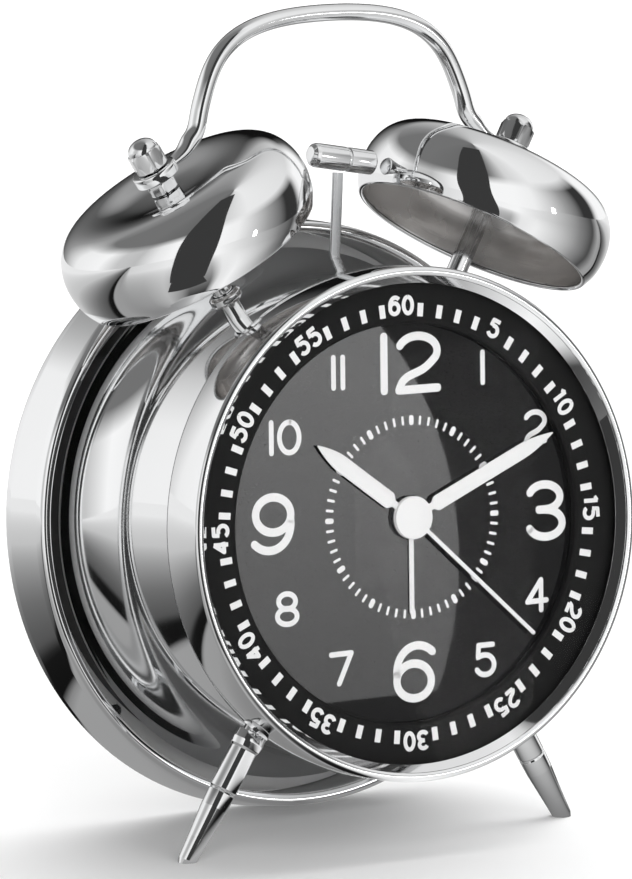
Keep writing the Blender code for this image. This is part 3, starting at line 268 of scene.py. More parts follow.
def sweep(name, path, half_width, half_height, sides=32):
    """A bar of oval section along a path in the XZ plane; its height may change along the way."""
    path = [Vector(point) for point in path]
    last = len(path) - 1
    rings = []
    for index, point in enumerate(path):
        run = (path[min(index + 1, last)] - path[max(index - 1, 0)]).normalized()
        across = left_of(run) * half_height(index / last)
        ring = []
        for side in range(sides):
            turn = 2.0 * math.pi * side / sides
            spot = point + across * math.cos(turn)
            ring.append((spot.x, half_width * math.sin(turn), spot.y))
        rings.append(ring)
    return loft(name, rings, 40.0)


def block(name, low, high, edge=0.0):
    """A box; its edges may be rounded."""
    low = Vector(low) * MM
    high = Vector(high) * MM
    shape = bmesh.new()
    bmesh.ops.create_cube(shape, size=1.0)
    bmesh.ops.scale(shape, vec=high - low, verts=shape.verts)
    bmesh.ops.translate(shape, vec=(high + low) / 2.0, verts=shape.verts)
    if edge > 0.0:
        bmesh.ops.bevel(shape, geom=shape.edges[:], offset=edge * MM, segments=3, profile=0.5,
                        affect="EDGES")
    return finish_mesh(name, shape)


def combine(piece, mesh, place, operation="DIFFERENCE"):
    """Cut a mesh out of a piece, or join it on, by an exact Boolean."""
    other = new_object("boolean_" + mesh.name, mesh, CLOCK @ place)
    modifier = piece.modifiers.new("combine", "BOOLEAN")
    modifier.operation = operation
    modifier.object = other
    modifier.solver = "EXACT"
    bpy.context.view_layer.update()
    bpy.context.view_layer.objects.active = piece
    bpy.ops.object.modifier_apply(modifier=modifier.name)
    bpy.data.objects.remove(other)
    piece.data.shade_smooth()
    piece.data.set_sharp_from_angle(angle=math.radians(32.0))


def cut_block(piece, name, low, high, edge=0.0):
    """Cut a box out of a piece."""
    combine(piece, block(name, low, high, edge), at())


def row_of_five(middle, gap):
    """Five evenly spaced positions, the third of them in the middle."""
    return [middle + gap * (number - 2) for number in range(5)]


def outward_facing(polygon):
    """How a face of a turned mesh looks: 1 is straight away from the axis, -1 straight at it."""
    outward = Vector(polygon.center[:2]).normalized()
    return polygon.normal.x * outward.x + polygon.normal.y * outward.y


# ---- materials

def new_material(name, colour, roughness, metallic=0.0):
    """A Principled material, its shader and its node tree."""
    material = bpy.data.materials.new(name)
    material.use_nodes = True
    shader = material.node_tree.nodes["Principled BSDF"]
    shader.inputs["Base Color"].default_value = (*colour, 1.0)
    shader.inputs["Roughness"].default_value = roughness
    shader.inputs["Metallic"].default_value = metallic
    return material, shader, material.node_tree


def add_node(tree, kind, inputs, **settings):
    """Outputs of a new shader node, its inputs set to numbers or linked to other outputs."""
    node = tree.nodes.new("ShaderNode" + kind)
    for setting, value in settings.items():
        setattr(node, setting, value)
    for socket, value in inputs.items():
        if isinstance(value, bpy.types.NodeSocket):
            tree.links.new(value, node.inputs[socket])
        else:
            node.inputs[socket].default_value = value
    return node.outputs


def coordinates(tree, scale=(1.0, 1.0, 1.0)):
    """Object coordinates, stretched by scale."""
    source = add_node(tree, "TexCoord", {})["Object"]
    return add_node(tree, "Mapping", {"Vector": source, "Scale": scale})["Vector"]


def noise(tree, vector, scale, detail=3.0):
    return add_node(tree, "TexNoise", {"Vector": vector, "Scale": scale, "Detail": detail,
                                       "Roughness": 0.55})["Fac"]


def ranged(tree, value, from_low, from_high, to_low, to_high):
    """Map a value from one range to another, clamped."""
    return add_node(tree, "MapRange", {"Value": value, "From Min": from_low, "From Max": from_high,
                                       "To Min": to_low, "To Max": to_high})["Result"]


def blend_colours(tree, factor, first, second):
    """Blend two colours, each a tuple or the output of a node."""
    first, second = ((*colour, 1.0) if isinstance(colour, tuple) else colour
                     for colour in (first, second))
    return add_node(tree, "Mix", {"Factor": factor, "A": first, "B": second},
                    data_type="RGBA")["Result"]


def vary_colour(tree, shader, factor, first, second):
    tree.links.new(blend_colours(tree, factor, first, second), shader.inputs["Base Color"])


def vary_roughness(tree, shader, value, from_low, from_high, low, high):
    tree.links.new(ranged(tree, value, from_low, from_high, low, high), shader.inputs["Roughness"])


def bump(tree, shader, height, strength, distance):
    normal = add_node(tree, "Bump", {"Height": height, "Strength": strength,
                                     "Distance": distance})["Normal"]
    tree.links.new(normal, shader.inputs["Normal"])


def chrome_material(name, colour, low, high, ripple):
    """Bright plating: faint smears in the gloss and the slight waviness of pressed metal."""
    material, shader, tree = new_material(name, colour, low, 1.0)
    vector = coordinates(tree)
    smears = noise(tree, vector, 70.0, 4.0)
    vary_roughness(tree, shader, smears, 0.35, 0.75, low, high)
    tint = noise(tree, vector, 25.0, 2.0)
    darker = tuple(0.965 * part for part in colour)
    vary_colour(tree, shader, ranged(tree, tint, 0.3, 0.7, 0.0, 1.0), colour, darker)
    bump(tree, shader, noise(tree, vector, 45.0, 1.0), ripple, 0.0006)
    return material


def inner_bell_material():
    """Thin plating inside the bells: duller, with rings left by spinning."""
    material, shader, tree = new_material("bell_inside_plate", (0.8, 0.78, 0.77), 0.2, 0.85)
    along = coordinates(tree, (0.02, 0.02, 1.0))
    rings = noise(tree, along, 1400.0, 3.0)
    patches = noise(tree, coordinates(tree), 60.0, 3.0)
    vary_roughness(tree, shader, patches, 0.3, 0.7, 0.16, 0.34)
    vary_colour(tree, shader, patches, (0.70, 0.67, 0.65), (0.95, 0.94, 0.93))
    bump(tree, shader, rings, 0.15, 0.0002)
    return material


def steel_material():
    """Zinc-plated steel with fine drawn lines."""
    material, shader, tree = new_material("plain_steel", (0.6, 0.61, 0.62), 0.28, 1.0)
    grain = noise(tree, coordinates(tree, (1.0, 1.0, 0.04)), 1800.0, 2.0)
    vary_roughness(tree, shader, grain, 0.3, 0.7, 0.2, 0.36)
    cloud = noise(tree, coordinates(tree), 90.0, 3.0)
    vary_colour(tree, shader, cloud, (0.54, 0.55, 0.56), (0.68, 0.69, 0.7))
    bump(tree, shader, grain, 0.12, 0.0001)
    return material


def moulded_material(name, dark, light, roughness, texture=0.25):
    """Moulded plastic with a fine spark-eroded texture; the channel's painted shade and painted
    reflection use it too.
    """
    material, shader, tree = new_material(name, dark, roughness)
    vector = coordinates(tree)
    cloud = noise(tree, vector, 40.0, 3.0)
    vary_colour(tree, shader, ranged(tree, cloud, 0.3, 0.7, 0.0, 1.0), dark, light)
    grain = noise(tree, vector, 2600.0, 2.0)
    vary_roughness(tree, shader, grain, 0.3, 0.7, roughness - 0.06, roughness + 0.08)
    bump(tree, shader, grain, texture, 0.00008)
    return material


def ring_print_material():
    """Matt black screen print of the minute ring."""
    material, shader, tree = new_material("ring_print", (0.008, 0.008, 0.008), 0.7)
    shader.inputs["Specular IOR Level"].default_value = 0.12
    grain = noise(tree, coordinates(tree), 3200.0, 2.0)
    vary_colour(tree, shader, grain, (0.006, 0.006, 0.006), (0.013, 0.013, 0.013))
    bump(tree, shader, grain, 0.1, 0.00004)
    return material


def dial_material():
    """Dark lacquer of the inner dial: a deep coat over a faint metallic fleck."""
    material, shader, tree = new_material("dial_lacquer", (0.006, 0.006, 0.0062), 0.12)
    shader.inputs["Specular IOR Level"].default_value = 0.25
    vector = coordinates(tree)
    fleck = noise(tree, vector, 5200.0, 1.0)
    vary_colour(tree, shader, ranged(tree, fleck, 0.55, 0.8, 0.0, 1.0), (0.005, 0.005, 0.0052),
                (0.010, 0.010, 0.0105))
    smears = noise(tree, vector, 50.0, 3.0)
    vary_roughness(tree, shader, smears, 0.3, 0.7, 0.006, 0.014)
    return material


def white_material(name, bright=0.86):
    """White printing and lacquer with the soft mottle of thick ink."""
    material, shader, tree = new_material(name, (bright, bright, bright), 0.5)
    shader.inputs["Specular IOR Level"].default_value = 0.3
    vector = coordinates(tree)
    cloud = noise(tree, vector, 500.0, 3.0)
    vary_colour(tree, shader, cloud, (bright * 0.95,) * 3, (bright * 1.03,) * 3)
    vary_roughness(tree, shader, cloud, 0.3, 0.7, 0.42, 0.58)
    bump(tree, shader, noise(tree, vector, 1600.0, 2.0), 0.08, 0.00004)
    return material


def glass_material():
    """Clear lens: a low alpha keeps it see-through in every renderer."""
    material, shader, tree = new_material("lens_glass", (0.02, 0.02, 0.02), 0.02)
    shader.inputs["Alpha"].default_value = 0.04
    smears = noise(tree, coordinates(tree), 40.0, 3.0)
    vary_roughness(tree, shader, smears, 0.3, 0.7, 0.01, 0.03)
    return material


def board_material():
    """Green circuit board with lighter copper tracks under the mask."""
    material, shader, tree = new_material("board_mask", (0.02, 0.14, 0.06), 0.4)
    tracks = add_node(tree, "TexBrick", {"Vector": coordinates(tree), "Scale": 260.0,
                                         "Color1": (0.02, 0.14, 0.06, 1.0),
                                         "Color2": (0.03, 0.18, 0.08, 1.0),
                                         "Mortar": (0.09, 0.30, 0.14, 1.0)})["Color"]
    tree.links.new(tracks, shader.inputs["Base Color"])
    return material


def winding_material():
    """Enamelled copper wire, wound in close turns."""
    material, shader, tree = new_material("copper_winding", (0.55, 0.24, 0.1), 0.35, 1.0)
    turns = add_node(tree, "TexWave", {"Vector": coordinates(tree), "Scale": 900.0})["Fac"]
    vary_colour(tree, shader, turns, (0.32, 0.13, 0.05), (0.7, 0.34, 0.15))
    bump(tree, shader, turns, 0.5, 0.0001)
    return material


CHROME = chrome_material("bright_chrome", (0.93, 0.935, 0.94), 0.025, 0.075, 0.02)
SMALL_CHROME = chrome_material("small_chrome", (0.88, 0.885, 0.89), 0.05, 0.11, 0.01)
BELL_INSIDE = inner_bell_material()
STEEL = steel_material()
BLACK_PLASTIC = moulded_material("black_moulding", (0.012, 0.012, 0.013), (0.022, 0.022, 0.024), 0.48)
KNOB_PLASTIC = moulded_material("knob_moulding", (0.016, 0.016, 0.017), (0.03, 0.03, 0.032), 0.4)
PALE_PLASTIC = moulded_material("pale_moulding", (0.62, 0.61, 0.57), (0.72, 0.71, 0.67), 0.38, 0.1)
# The skirt's black is painted shade, standing in for the dark deep in the channel behind the drum's
# flare.
CHANNEL_PAINTED_SHADE = moulded_material("channel_painted_shade", (0.006, 0.006, 0.006), (0.012, 0.012, 0.012),
                                 0.35, 0.1)
# The inside of the channel is paler and duller than the chrome around it, a choice made by look: the
# pale colour is a painted reflection, standing in for the brightness the chrome would mirror there.
CHANNEL_PAINTED_REFLECTION = moulded_material("channel_painted_reflection", (0.78, 0.78, 0.78), (0.85, 0.85, 0.85), 0.4, 0.1)
BATTERY_SLEEVE = moulded_material("battery_sleeve", (0.62, 0.30, 0.03), (0.72, 0.38, 0.05), 0.3, 0.05)
RING_PRINT = ring_print_material()
DIAL_LACQUER = dial_material()
WHITE_PRINT = white_material("white_print")
HAND_WHITE = white_material("hand_lacquer", 0.84)
GLASS = glass_material()
BOARD = board_material()
WINDING = winding_material()


# ---- case

HAND_X = 1.8                        # where the hands' axis crosses the dial
HAND_Z = 1.0
DIAL_X = 2.3                        # the printed dial sits a little off the hands' axis
DIAL_TURN = math.radians(2.3)       # the printed dial sits slightly clockwise in the case
RING_TURN = math.radians(0.7)
DRUM_RADIUS = 49.6
FLARE_START = 28.0                  # y where the drum begins to widen
FLARE_RADIUS = 34.0
FLARE_END = 148.5                   # degrees on the flare's circle, which starts at 180
LIP_RADIUS = 1.25
RIM_LIP = 60.4                      # radius of the rim over its rolled lip
RIM_BACK = 61.3                     # and at its back


def make_front():
    """Turned bezel with its inner cone and round nose, the lens and the two dial parts."""
    outline = [(48.5, -1.8), (48.5, -2.15, 0.1), (50.05, -3.72, 0.25)]
    outline += arc(50.86, -3.16, 1.04, 222.0, 360.0, 12)
    outline += [(51.9, 7.2), (51.75, 7.8), (51.4, 8.0), (50.2, 8.0), (50.2, -1.8)]
    add_turned("bezel", rounded(outline), 240, CHROME, along_y(), "front_bezel", "chrome")

    outline = rounded([(0.0, -1.5), (49.6, -1.5, 0.2), (49.6, -0.6, 0.2), (0.0, -0.6)], False)
    add_turned("lens_glass", outline, 160, GLASS, along_y(), "lens", "clear_glass")

    outline = rounded([(40.3, 0.45, 0.1), (40.75, 0.0, 0.25), (49.6, 0.0), (49.6, 1.9), (40.3, 1.9)])
    add_turned("minute_ring_print", outline, 200, RING_PRINT, along_y(), "minute_ring", "dial_black")

    outline = [(4.4, 2.35), (4.55, 2.2), (47.4, 2.2), (47.4, 3.0), (4.4, 3.0)]
    add_turned("dial_lacquer", outline, 160, DIAL_LACQUER, along_y(HAND_X, 0.0, HAND_Z), "dial_plate",
               "dial_black")


def make_case():
    """Drum with its flared back, the skirt behind it, and the wide rear rim with a rolled lip."""
    centre = DRUM_RADIUS + FLARE_RADIUS
    outline = [(48.8, 3.3), (49.3, 3.3), (DRUM_RADIUS, 3.7)]
    outline += arc(centre, FLARE_START, FLARE_RADIUS, 180.0, FLARE_END, 28)
    outline += arc(54.4, 46.1, 0.4, -20.0, 136.0, 8)
    outline += arc(centre, FLARE_START, FLARE_RADIUS + 0.8, FLARE_END, 180.0, 28)
    drum = add_turned("drum_shell", outline, 240, CHROME, along_y(), "case_drum", "chrome")
    cut_block(drum, "hammer_slot", (-6.7, 17.8, 45.0), (2.3, 21.0, 53.0))

    outline = [(58.6, 57.3), (58.6, 45.6)]
    outline += arc(RIM_LIP - LIP_RADIUS, 43.0 + LIP_RADIUS, LIP_RADIUS, 175.0, 352.0, 16)
    outline += [(60.55, 45.5, 0.5), (RIM_BACK, 54.8, 3.0), (RIM_BACK, 56.4, 1.0), (60.5, 57.9, 1.0),
                (59.4, 59.4, 0.3), (58.7, 59.4), (58.7, 57.3)]
    rim = add_turned("rim_band", rounded(outline), 280, (CHROME, CHANNEL_PAINTED_REFLECTION), along_y(), "rear_rim",
                     "chrome")
    # The rim's inward faces take the pale painted reflection.
    for polygon in rim.data.polygons:
        if outward_facing(polygon) < -0.9:
            polygon.material_index = 1

    # The channel floor takes the same pale painted reflection.
    outline = [(47.0, 56.3), (58.3, 56.3), (58.3, 57.3), (47.0, 57.3)]
    add_turned("channel_ring", outline, 200, CHANNEL_PAINTED_REFLECTION, along_y(), "channel_floor", "chrome")
    # Black skirt: painted shade for the dark gap between the flare and the rim.
    outline = rounded([(50.8, 43.5, 0.3), (52.1, 43.5, 0.3), (52.1, 56.0), (50.8, 56.0)])
    add_turned("skirt_ring", outline, 200, CHANNEL_PAINTED_SHADE, along_y(), "drum_skirt", "black_plastic")


# ---- dial printing

PRINT_LIFT = 0.015                 # thickness of each layer of ink


class Printer:
    """Collects flat strokes on a plane of constant y, each a hair above the one before."""

    def __init__(self, name, y):
        self.name = name
        self.y = y
        self.shape = bmesh.new()
        self.layer = 0

    def polygon(self, points):
        """One closed patch of ink."""
        front = self.y - PRINT_LIFT - 0.0008 * (self.layer % 8)
        self.layer += 1
        rings = []
        for y in (self.y, front):
            rings.append([self.shape.verts.new((x * MM, y * MM, z * MM)) for x, z in points])
        link_rings(self.shape, rings[0], rings[1])
        for ring in rings:
            self.shape.faces.new(ring)

    def disc(self, point, width):
        self.polygon(arc(point.x, point.y, width / 2.0, 0.0, 337.5, 15))

    def stroke(self, path, width, round_ends=True):
        """A line of constant width: mitred along a curve, with round joints on a bent line."""
        path = [Vector(point) for point in path]
        curved = len(path) > 5
        if round_ends:
            self.disc(path[0], width)
            self.disc(path[-1], width)
        if not curved:
            for point in path[1:-1]:
                self.disc(point, width)
        sides = []
        for index, point in enumerate(path):
            before = path[max(index - 1, 0)]
            after = path[min(index + 1, len(path) - 1)]
            run = (after - before).normalized()
            into = (point - before).normalized() if index else run
            side = left_of(run) * width / 2.0 / max(0.5, into.dot(run))
            sides.append(side)
        for index, (start, end) in enumerate(zip(path, path[1:])):
            run = (end - start).normalized()
            square = left_of(run) * width / 2.0
            first = sides[index] if curved else square
            second = sides[index + 1] if curved else square
            self.polygon([start + first, end + second, end - second, start - first])

    def make(self, place):
        mesh = finish_mesh(self.name, self.shape)
        add_piece(self.name, mesh, WHITE_PRINT, CASE, place, None, "white_enamel")


def digit_strokes(digit, width):
    """Centre lines of one digit, one unit tall and width wide, its middle at the origin."""
    half = width / 2.0
    if digit == "0":
        return [oval(0.0, 0.0, half, 0.5, 90.0, 450.0, 32)]
    if digit == "1":
        return [[(0.0, -0.5), (0.0, 0.5)]]
    if digit == "2":
        bowl = oval(0.0, 0.22, half, 0.28, 158.0, -25.0, 14)
        tail = smooth_curve([bowl[-1], (0.1 * width, -0.13), (-0.38 * width, -0.32),
                             (-half, -0.5)], 4)[1:]
        return [bowl + tail, [(-half, -0.5), (half, -0.47)]]
    if digit == "3":
        top = oval(-0.04 * width, 0.26, 0.46 * width, 0.24, 158.0, -90.0, 16)
        low = oval(-0.02 * width, -0.24, 0.5 * width, 0.26, 90.0, -158.0, 16)
        return [top, low, [(-0.2 * width, 0.02), (0.0, 0.02)]]
    if digit == "4":
        return [[(0.22 * width, 0.5), (-half, -0.22), (half, -0.18)],
                [(0.22 * width, 0.5), (0.22 * width, -0.5)]]
    if digit == "5":
        bowl = oval(-0.04 * width, -0.17, 0.54 * width, 0.33, 118.0, -150.0, 18)
        return [[(0.42 * width, 0.5), (-0.4 * width, 0.48), (-0.44 * width, 0.08)], bowl]
    if digit == "6":
        ring = oval(0.0, -0.17, half, 0.33, 90.0, 450.0, 28)
        back = oval(0.12 * width, 0.0, 0.62 * width, 0.5, 48.0, 186.0, 16)
        return [ring, back]
    if digit == "7":
        return [[(-half, 0.46), (half, 0.5), (-0.12 * width, -0.5)]]
    if digit == "8":
        return [oval(0.0, 0.25, 0.43 * width, 0.25, 90.0, 450.0, 24),
                oval(0.0, -0.24, half, 0.26, 90.0, 450.0, 24)]
    ring = oval(0.0, 0.17, half, 0.33, 90.0, 450.0, 28)
    back = oval(-0.12 * width, 0.0, 0.62 * width, 0.5, 228.0, 366.0, 16)
    return [ring, back]


def print_number(printer, text, place, height, ink, widths, spacing, round_ends=True):
    """Print a number; place turns its own (x, z) millimetres into dial millimetres."""
    tall = height - ink
    total = sum(widths[digit] for digit in text) + spacing * (len(text) - 1)
    cursor = -total / 2.0
    for digit in text:
        wide = widths[digit]
        middle = cursor + wide / 2.0
        for path in digit_strokes(digit, max(0.0, wide - ink) / tall):
            points = [place((middle + x * tall, z * tall)) for x, z in path]
            printer.stroke(points, ink, round_ends)
        cursor += wide + spacing


def turned_place(radius, turn, upright, base_turn=0.0):
    """Maker of a place at radius and clock angle; upright numbers stay level with the dial."""
    own = -base_turn if upright else -turn
    centre = (radius * math.sin(turn), radius * math.cos(turn))

    def place(point):
        x, z = point
        return (centre[0] + x * math.cos(own) - z * math.sin(own),
                centre[1] + x * math.sin(own) + z * math.cos(own))
    return place


def print_minute_ring():
    """White marks at each minute, with the five-minute numbers between them."""
    printer = Printer("minute_ring_marks", 0.0)
    wide = 2.9
    gap = 0.3
    widths = {digit: wide for digit in "023456"}
    widths["1"] = 1.6
    for minute in range(60):
        turn = RING_TURN + 2.0 * math.pi * minute / 60.0
        if minute % 5:
            place = turned_place(43.1, turn, False)
            printer.stroke([place((0.0, -1.35)), place((0.0, 1.35))], 1.35, False)
            continue
        number = str(minute or 60)
        place = turned_place(43.95, turn, False)
        print_number(printer, number, place, 4.15, 0.86, widths, gap, False)
        if number.startswith("1"):
            total = widths["1"] + gap + wide
            left = -total / 2.0 + widths["1"] / 2.0
            printer.stroke([place((left, 1.6)), place((left - 0.85, 0.95))], 0.7, False)
    printer.make(at())


def print_dial():
    """Hour numbers, large at the quarters, and the circle of minute ticks."""
    printer = Printer("dial_marks", 2.2)
    big = {"1": 1.7, "2": 10.9, "3": 9.9, "6": 9.9, "9": 9.9}
    small = {digit: 5.7 for digit in "0248"}
    small.update({"1": 1.15, "5": 5.2, "7": 5.8})
    for hour in range(1, 13):
        turn = DIAL_TURN + 2.0 * math.pi * hour / 12.0
        if hour % 3 == 0:
            radius = {12: 31.1, 3: 32.1, 6: 31.3, 9: 32.7}[hour]
            place = turned_place(radius, turn, True, DIAL_TURN)
            height = 12.6 if hour == 12 else 12.4
            print_number(printer, str(hour), place, height, 1.7, big, 1.75)
        else:
            place = turned_place(34.3, turn, True, DIAL_TURN)
            spacing = 0.75 if hour == 10 else 1.05
            print_number(printer, str(hour), place, 7.2, 1.1, small, spacing)
    for minute in range(60):
        turn = DIAL_TURN + 2.0 * math.pi * minute / 60.0
        ink = 1.1 if minute % 5 == 0 else 0.55
        half = (2.05 if minute % 5 == 0 else 1.85) / 2.0 - ink / 2.0
        place = turned_place(19.6, turn, False)
        printer.stroke([place((0.0, -half)), place((0.0, half))], ink)
    printer.make(at(DIAL_X, 0.0, HAND_Z))


# ---- hands

def hand_shape(length, half_width, neck_half, tip, hub):
    """Outline of a hand pointing up: hub disc, waisted neck, blade with an ogive tip."""
    neck = math.sqrt(hub * hub - neck_half * neck_half)
    right = [(neck_half, neck)]
    if half_width > neck_half:
        right += rounded([(neck_half, neck), (neck_half, neck + 1.0, 0.3),
                          (half_width, neck + 1.9, 0.9), (half_width, length - tip)], False)[1:]
        for step in range(1, 9):
            part = step / 8.0
            right.append((half_width * (1.0 - part ** 1.7) + 0.12 * part,
                          length - tip + tip * part))
    else:
        right += [(half_width, length - 0.3), (0.5 * half_width, length)]
    left = [(-x, z) for x, z in reversed(right)]
    start = math.degrees(math.asin(neck_half / hub))
    around = arc(0.0, 0.0, hub, 90.0 + start, 450.0 - start, 60)[1:-1]
    return right + left + around


def make_hands():
    """Each hand: piece, kind, degrees clockwise, front face, and the numbers of its shape."""
    for name, kind, angle, front, shape in (
            ("hour_baton", "hour", -53.0, 1.4, (26.8, 1.75, 0.75, 7.0, 4.35)),
            ("minute_baton", "minute", 67.0, 1.0, (37.3, 1.6, 0.75, 8.5, 4.3)),
            ("second_needle", "second", 133.3, 0.6, (37.9, 0.42, 0.42, 0.4, 4.35)),
            ("alarm_needle", "alarm", 182.3, 1.8, (19.6, 0.55, 0.55, 0.4, 3.85))):
        place = at(HAND_X, front, HAND_Z) @ Matrix.Rotation(math.radians(angle), 4, "Y")
        mesh = plate(name, hand_shape(*shape), 0.0, 0.2, 0.07)
        add_piece(name, mesh, HAND_WHITE, kind + "_set", place, kind + "_hand", "white_enamel")


# ---- back cover and controls

COVER_BACK = 59.2                   # y of the cover's back face, and of its raised centre
CENTRE_BACK = 60.2
PAST_COVER = 64.0                   # y well behind the cover, where the cuts through it end
BAY = ((-27.0, -35.6), (27.0, -20.2))
KNOB_Z = 14.0
BUTTON_Z = -8.0
KNOBS = (("time_set_knob", "time_knob", 14.0), ("alarm_set_knob", "alarm_knob", -12.0))
SCREW_CIRCLE = 54.0


def make_cover():
    """Back cover with its raised centre, battery bay, slots, holes and raised arrows."""
    outline = [(0.0, 57.6), (58.5, 57.6), (58.5, 58.4), (57.8, COVER_BACK, 0.4), (56.4, COVER_BACK),
               (56.2, 58.9, 0.2), (55.8, 58.9, 0.2), (55.6, COVER_BACK), (44.4, COVER_BACK, 0.4),
               (43.2, CENTRE_BACK, 0.5), (41.0, CENTRE_BACK), (40.8, 59.95, 0.15),
               (40.3, 59.95, 0.15), (40.1, CENTRE_BACK), (0.0, CENTRE_BACK)]
    cover = add_turned("cover_moulding", rounded(outline, False), 200, BLACK_PLASTIC, along_y(),
                       "back_cover", "black_plastic")
    (left, low), (right, high) = BAY
    shell = block("bay_shell", (left - 1.2, 39.4, low - 1.2), (right + 1.2, 58.1, high + 1.2))
    combine(cover, shell, at(), "UNION")
    cut_block(cover, "bay_hollow", (left, 40.6, low), (right, PAST_COVER, high))
    cut_block(cover, "switch_hole", (-4.3, 55.0, 32.2), (4.3, PAST_COVER, 35.8))
    for middle in row_of_five(-4.0, 3.2):
        cut_block(cover, "sound_slot", (-34.0, 50.0, middle - 0.7), (-24.0, PAST_COVER, middle + 0.7),
                  0.6)
    holes = [(x, KNOB_Z, 2.2) for node, body, x in KNOBS]
    for x, z, radius in holes + [(0.0, BUTTON_Z, 4.3)]:
        outline = [(0.0, 55.0), (radius, 55.0), (radius, PAST_COVER), (0.0, PAST_COVER)]
        combine(cover, lathe("control_hole", outline, 48), along_y(x, 0.0, z))
    for node, body, x in KNOBS:
        make_turn_arrow(x, KNOB_Z)


def make_turn_arrow(x, z):
    """Raised curved arrow round a knob, showing which way it turns."""
    radius = 9.4
    line = arc(0.0, 0.0, radius + 0.35, 40.0, 130.0, 16)
    line += arc(0.0, 0.0, radius - 0.35, 130.0, 40.0, 16)
    head = [(reach * math.cos(math.radians(angle)), reach * math.sin(math.radians(angle)))
            for reach, angle in ((radius, 30.0), (radius + 1.1, 40.5), (radius - 1.1, 40.5))]
    for part, outline in (("line", line), ("head", head)):
        name = "arrow_%s_%d" % (part, round(x))
        mesh = plate(name, outline, CENTRE_BACK - 0.1, CENTRE_BACK + 0.3)
        add_piece(name, mesh, BLACK_PLASTIC, CASE, at(x, 0.0, z), None, "black_plastic")


def make_screws():
    """Pan-head cross-recess screws on a circle."""
    outline = rounded([(0.0, 55.7), (1.4, 55.7, 0.3), (1.4, 59.5), (2.9, 59.5, 0.1),
                       (2.9, 60.2, 0.5), (2.1, 60.95, 0.8), (0.0, 61.0)], False)
    for number in range(4):
        turn = math.radians(45.0 + 90.0 * number)
        place = along_y(SCREW_CIRCLE * math.cos(turn), 0.0, SCREW_CIRCLE * math.sin(turn))
        place = place @ Matrix.Rotation(1.3 * number + 0.4, 4, "Z")
        name = "cover_screw_%d" % (number + 1)
        screw = add_turned("pan_" + name, outline, 48, STEEL, place, name, "steel")
        for half_x, half_y in ((1.6, 0.3), (0.3, 1.6)):
            recess = block("recess", (-half_x, -half_y, 60.0), (half_x, half_y, 63.0))
            combine(screw, recess, place)


def make_knob(node, body, x, stem_front):
    """Knob with a ribbed grip, dished end and its stem."""
    def ribs(turn, radius, height):
        inside = radius < 6.0 or height < 61.2
        return 0.0 if inside else -0.42 * (0.5 - 0.5 * math.cos(40.0 * turn)) ** 0.7

    outline = [(0.0, stem_front), (1.6, stem_front, 0.3), (1.6, 60.8), (6.4, 60.8, 0.2),
               (6.5, 61.4, 0.2), (6.5, 65.7, 0.3), (5.8, 66.5, 0.5), (4.6, 66.5, 0.3),
               (4.3, 66.1, 0.3), (0.0, 65.9)]
    add_turned("grip_" + node, rounded(outline, False), 320, KNOB_PLASTIC, along_y(x, 0.0, KNOB_Z),
               node, "black_plastic", body, wave=ribs)


def make_controls():
    """Setting knobs, alarm switch, light button and battery door."""
    for node, body, x in KNOBS:
        stem_front = (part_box(node)[0] - CLOCK.translation).y / MM
        make_knob(node, body, x, min(59.0, max(4.0, stem_front)))

    mesh = block("slide_cap", (-7.0, 60.5, 32.5), (2.0, 63.1, 35.5), 0.4)
    cap = add_piece("slide_cap", mesh, PALE_PLASTIC, "switch", at(), "alarm_switch", "white_enamel")
    combine(cap, block("slide_stem", (-4.0, 55.2, 32.5), (-1.0, 61.0, 35.5), 0.1), at(), "UNION")
    for x in row_of_five(-2.5, 1.1):
        cut_block(cap, "slide_groove", (x - 0.25, 62.75, 32.0), (x + 0.25, PAST_COVER, 36.0))

    outline = rounded([(0.0, 50.0), (5.2, 50.0, 0.2), (5.2, 55.3, 0.2), (3.7, 55.3), (3.7, 61.6, 0.4),
                       (3.0, 62.2, 0.6), (0.0, 62.4)], False)
    add_turned("button_cap", outline, 96, PALE_PLASTIC, along_y(0.0, 0.0, BUTTON_Z), "light_button",
               "natural_plastic", "button")

    (left, low), (right, high) = BAY
    mesh = block("door_panel", (left + 0.4, 59.1, low + 0.4), (right - 0.4, 60.5, high - 0.4), 0.35)
    door = add_piece("door_panel", mesh, BLACK_PLASTIC, "door", at(), "battery_door", "black_plastic")
    for number in range(5):
        ridge = high - 2.0 - 1.3 * number
        cut_block(door, "grip_groove", (-6.0, 60.15, ridge - 0.3), (6.0, 62.0, ridge + 0.3))


# ---- bells and handle

BELL_ANGLE = math.radians(30.0)
BELL_Y = 22.2
BELL_RIM = 63.9                     # distance of a bell's rim from the case axis
BELL_WALL = 0.9
BORE = 1.8                          # radius of the holes that the posts pass through
SIDES = ((-1, "left"), (1, "right"))


def hexagon(corner, low, high):
    """Wave that trims a turned outline to a hexagon between two heights."""
    flat = corner * math.cos(math.pi / 6.0)

    def trim(turn, radius, height):
        if not low <= height <= high:
            return 0.0
        from_flat = (turn % (math.pi / 3.0)) - math.pi / 6.0
        return min(0.0, flat / math.cos(from_flat) - radius)
    return trim


def bell_profile():
    """Closed section of a bell: a bulging wall, a shallow dished crown and a rolled rim."""
    outer = smooth_curve([(25.2, 0.35), (26.3, 2.6), (26.9, 5.4), (26.95, 8.2), (26.3, 11.2),
                          (24.8, 14.0), (22.3, 16.1), (18.6, 17.1), (13.4, 16.95), (9.0, 16.3),
                          (5.6, 16.05), (3.6, 16.0), (BORE, 16.0)], 5)
    inner = []
    for index, (radius, height) in enumerate(outer):
        before = Vector(outer[max(index - 1, 0)])
        after = Vector(outer[min(index + 1, len(outer) - 1)])
        run = (after - before).normalized()
        point = Vector((radius, height)) + left_of(run) * BELL_WALL
        inner.append((max(BORE, point.x), point.y))
    return outer + inner[::-1] + arc(24.75, 0.5, 0.5, 350.0, 170.0, 8)


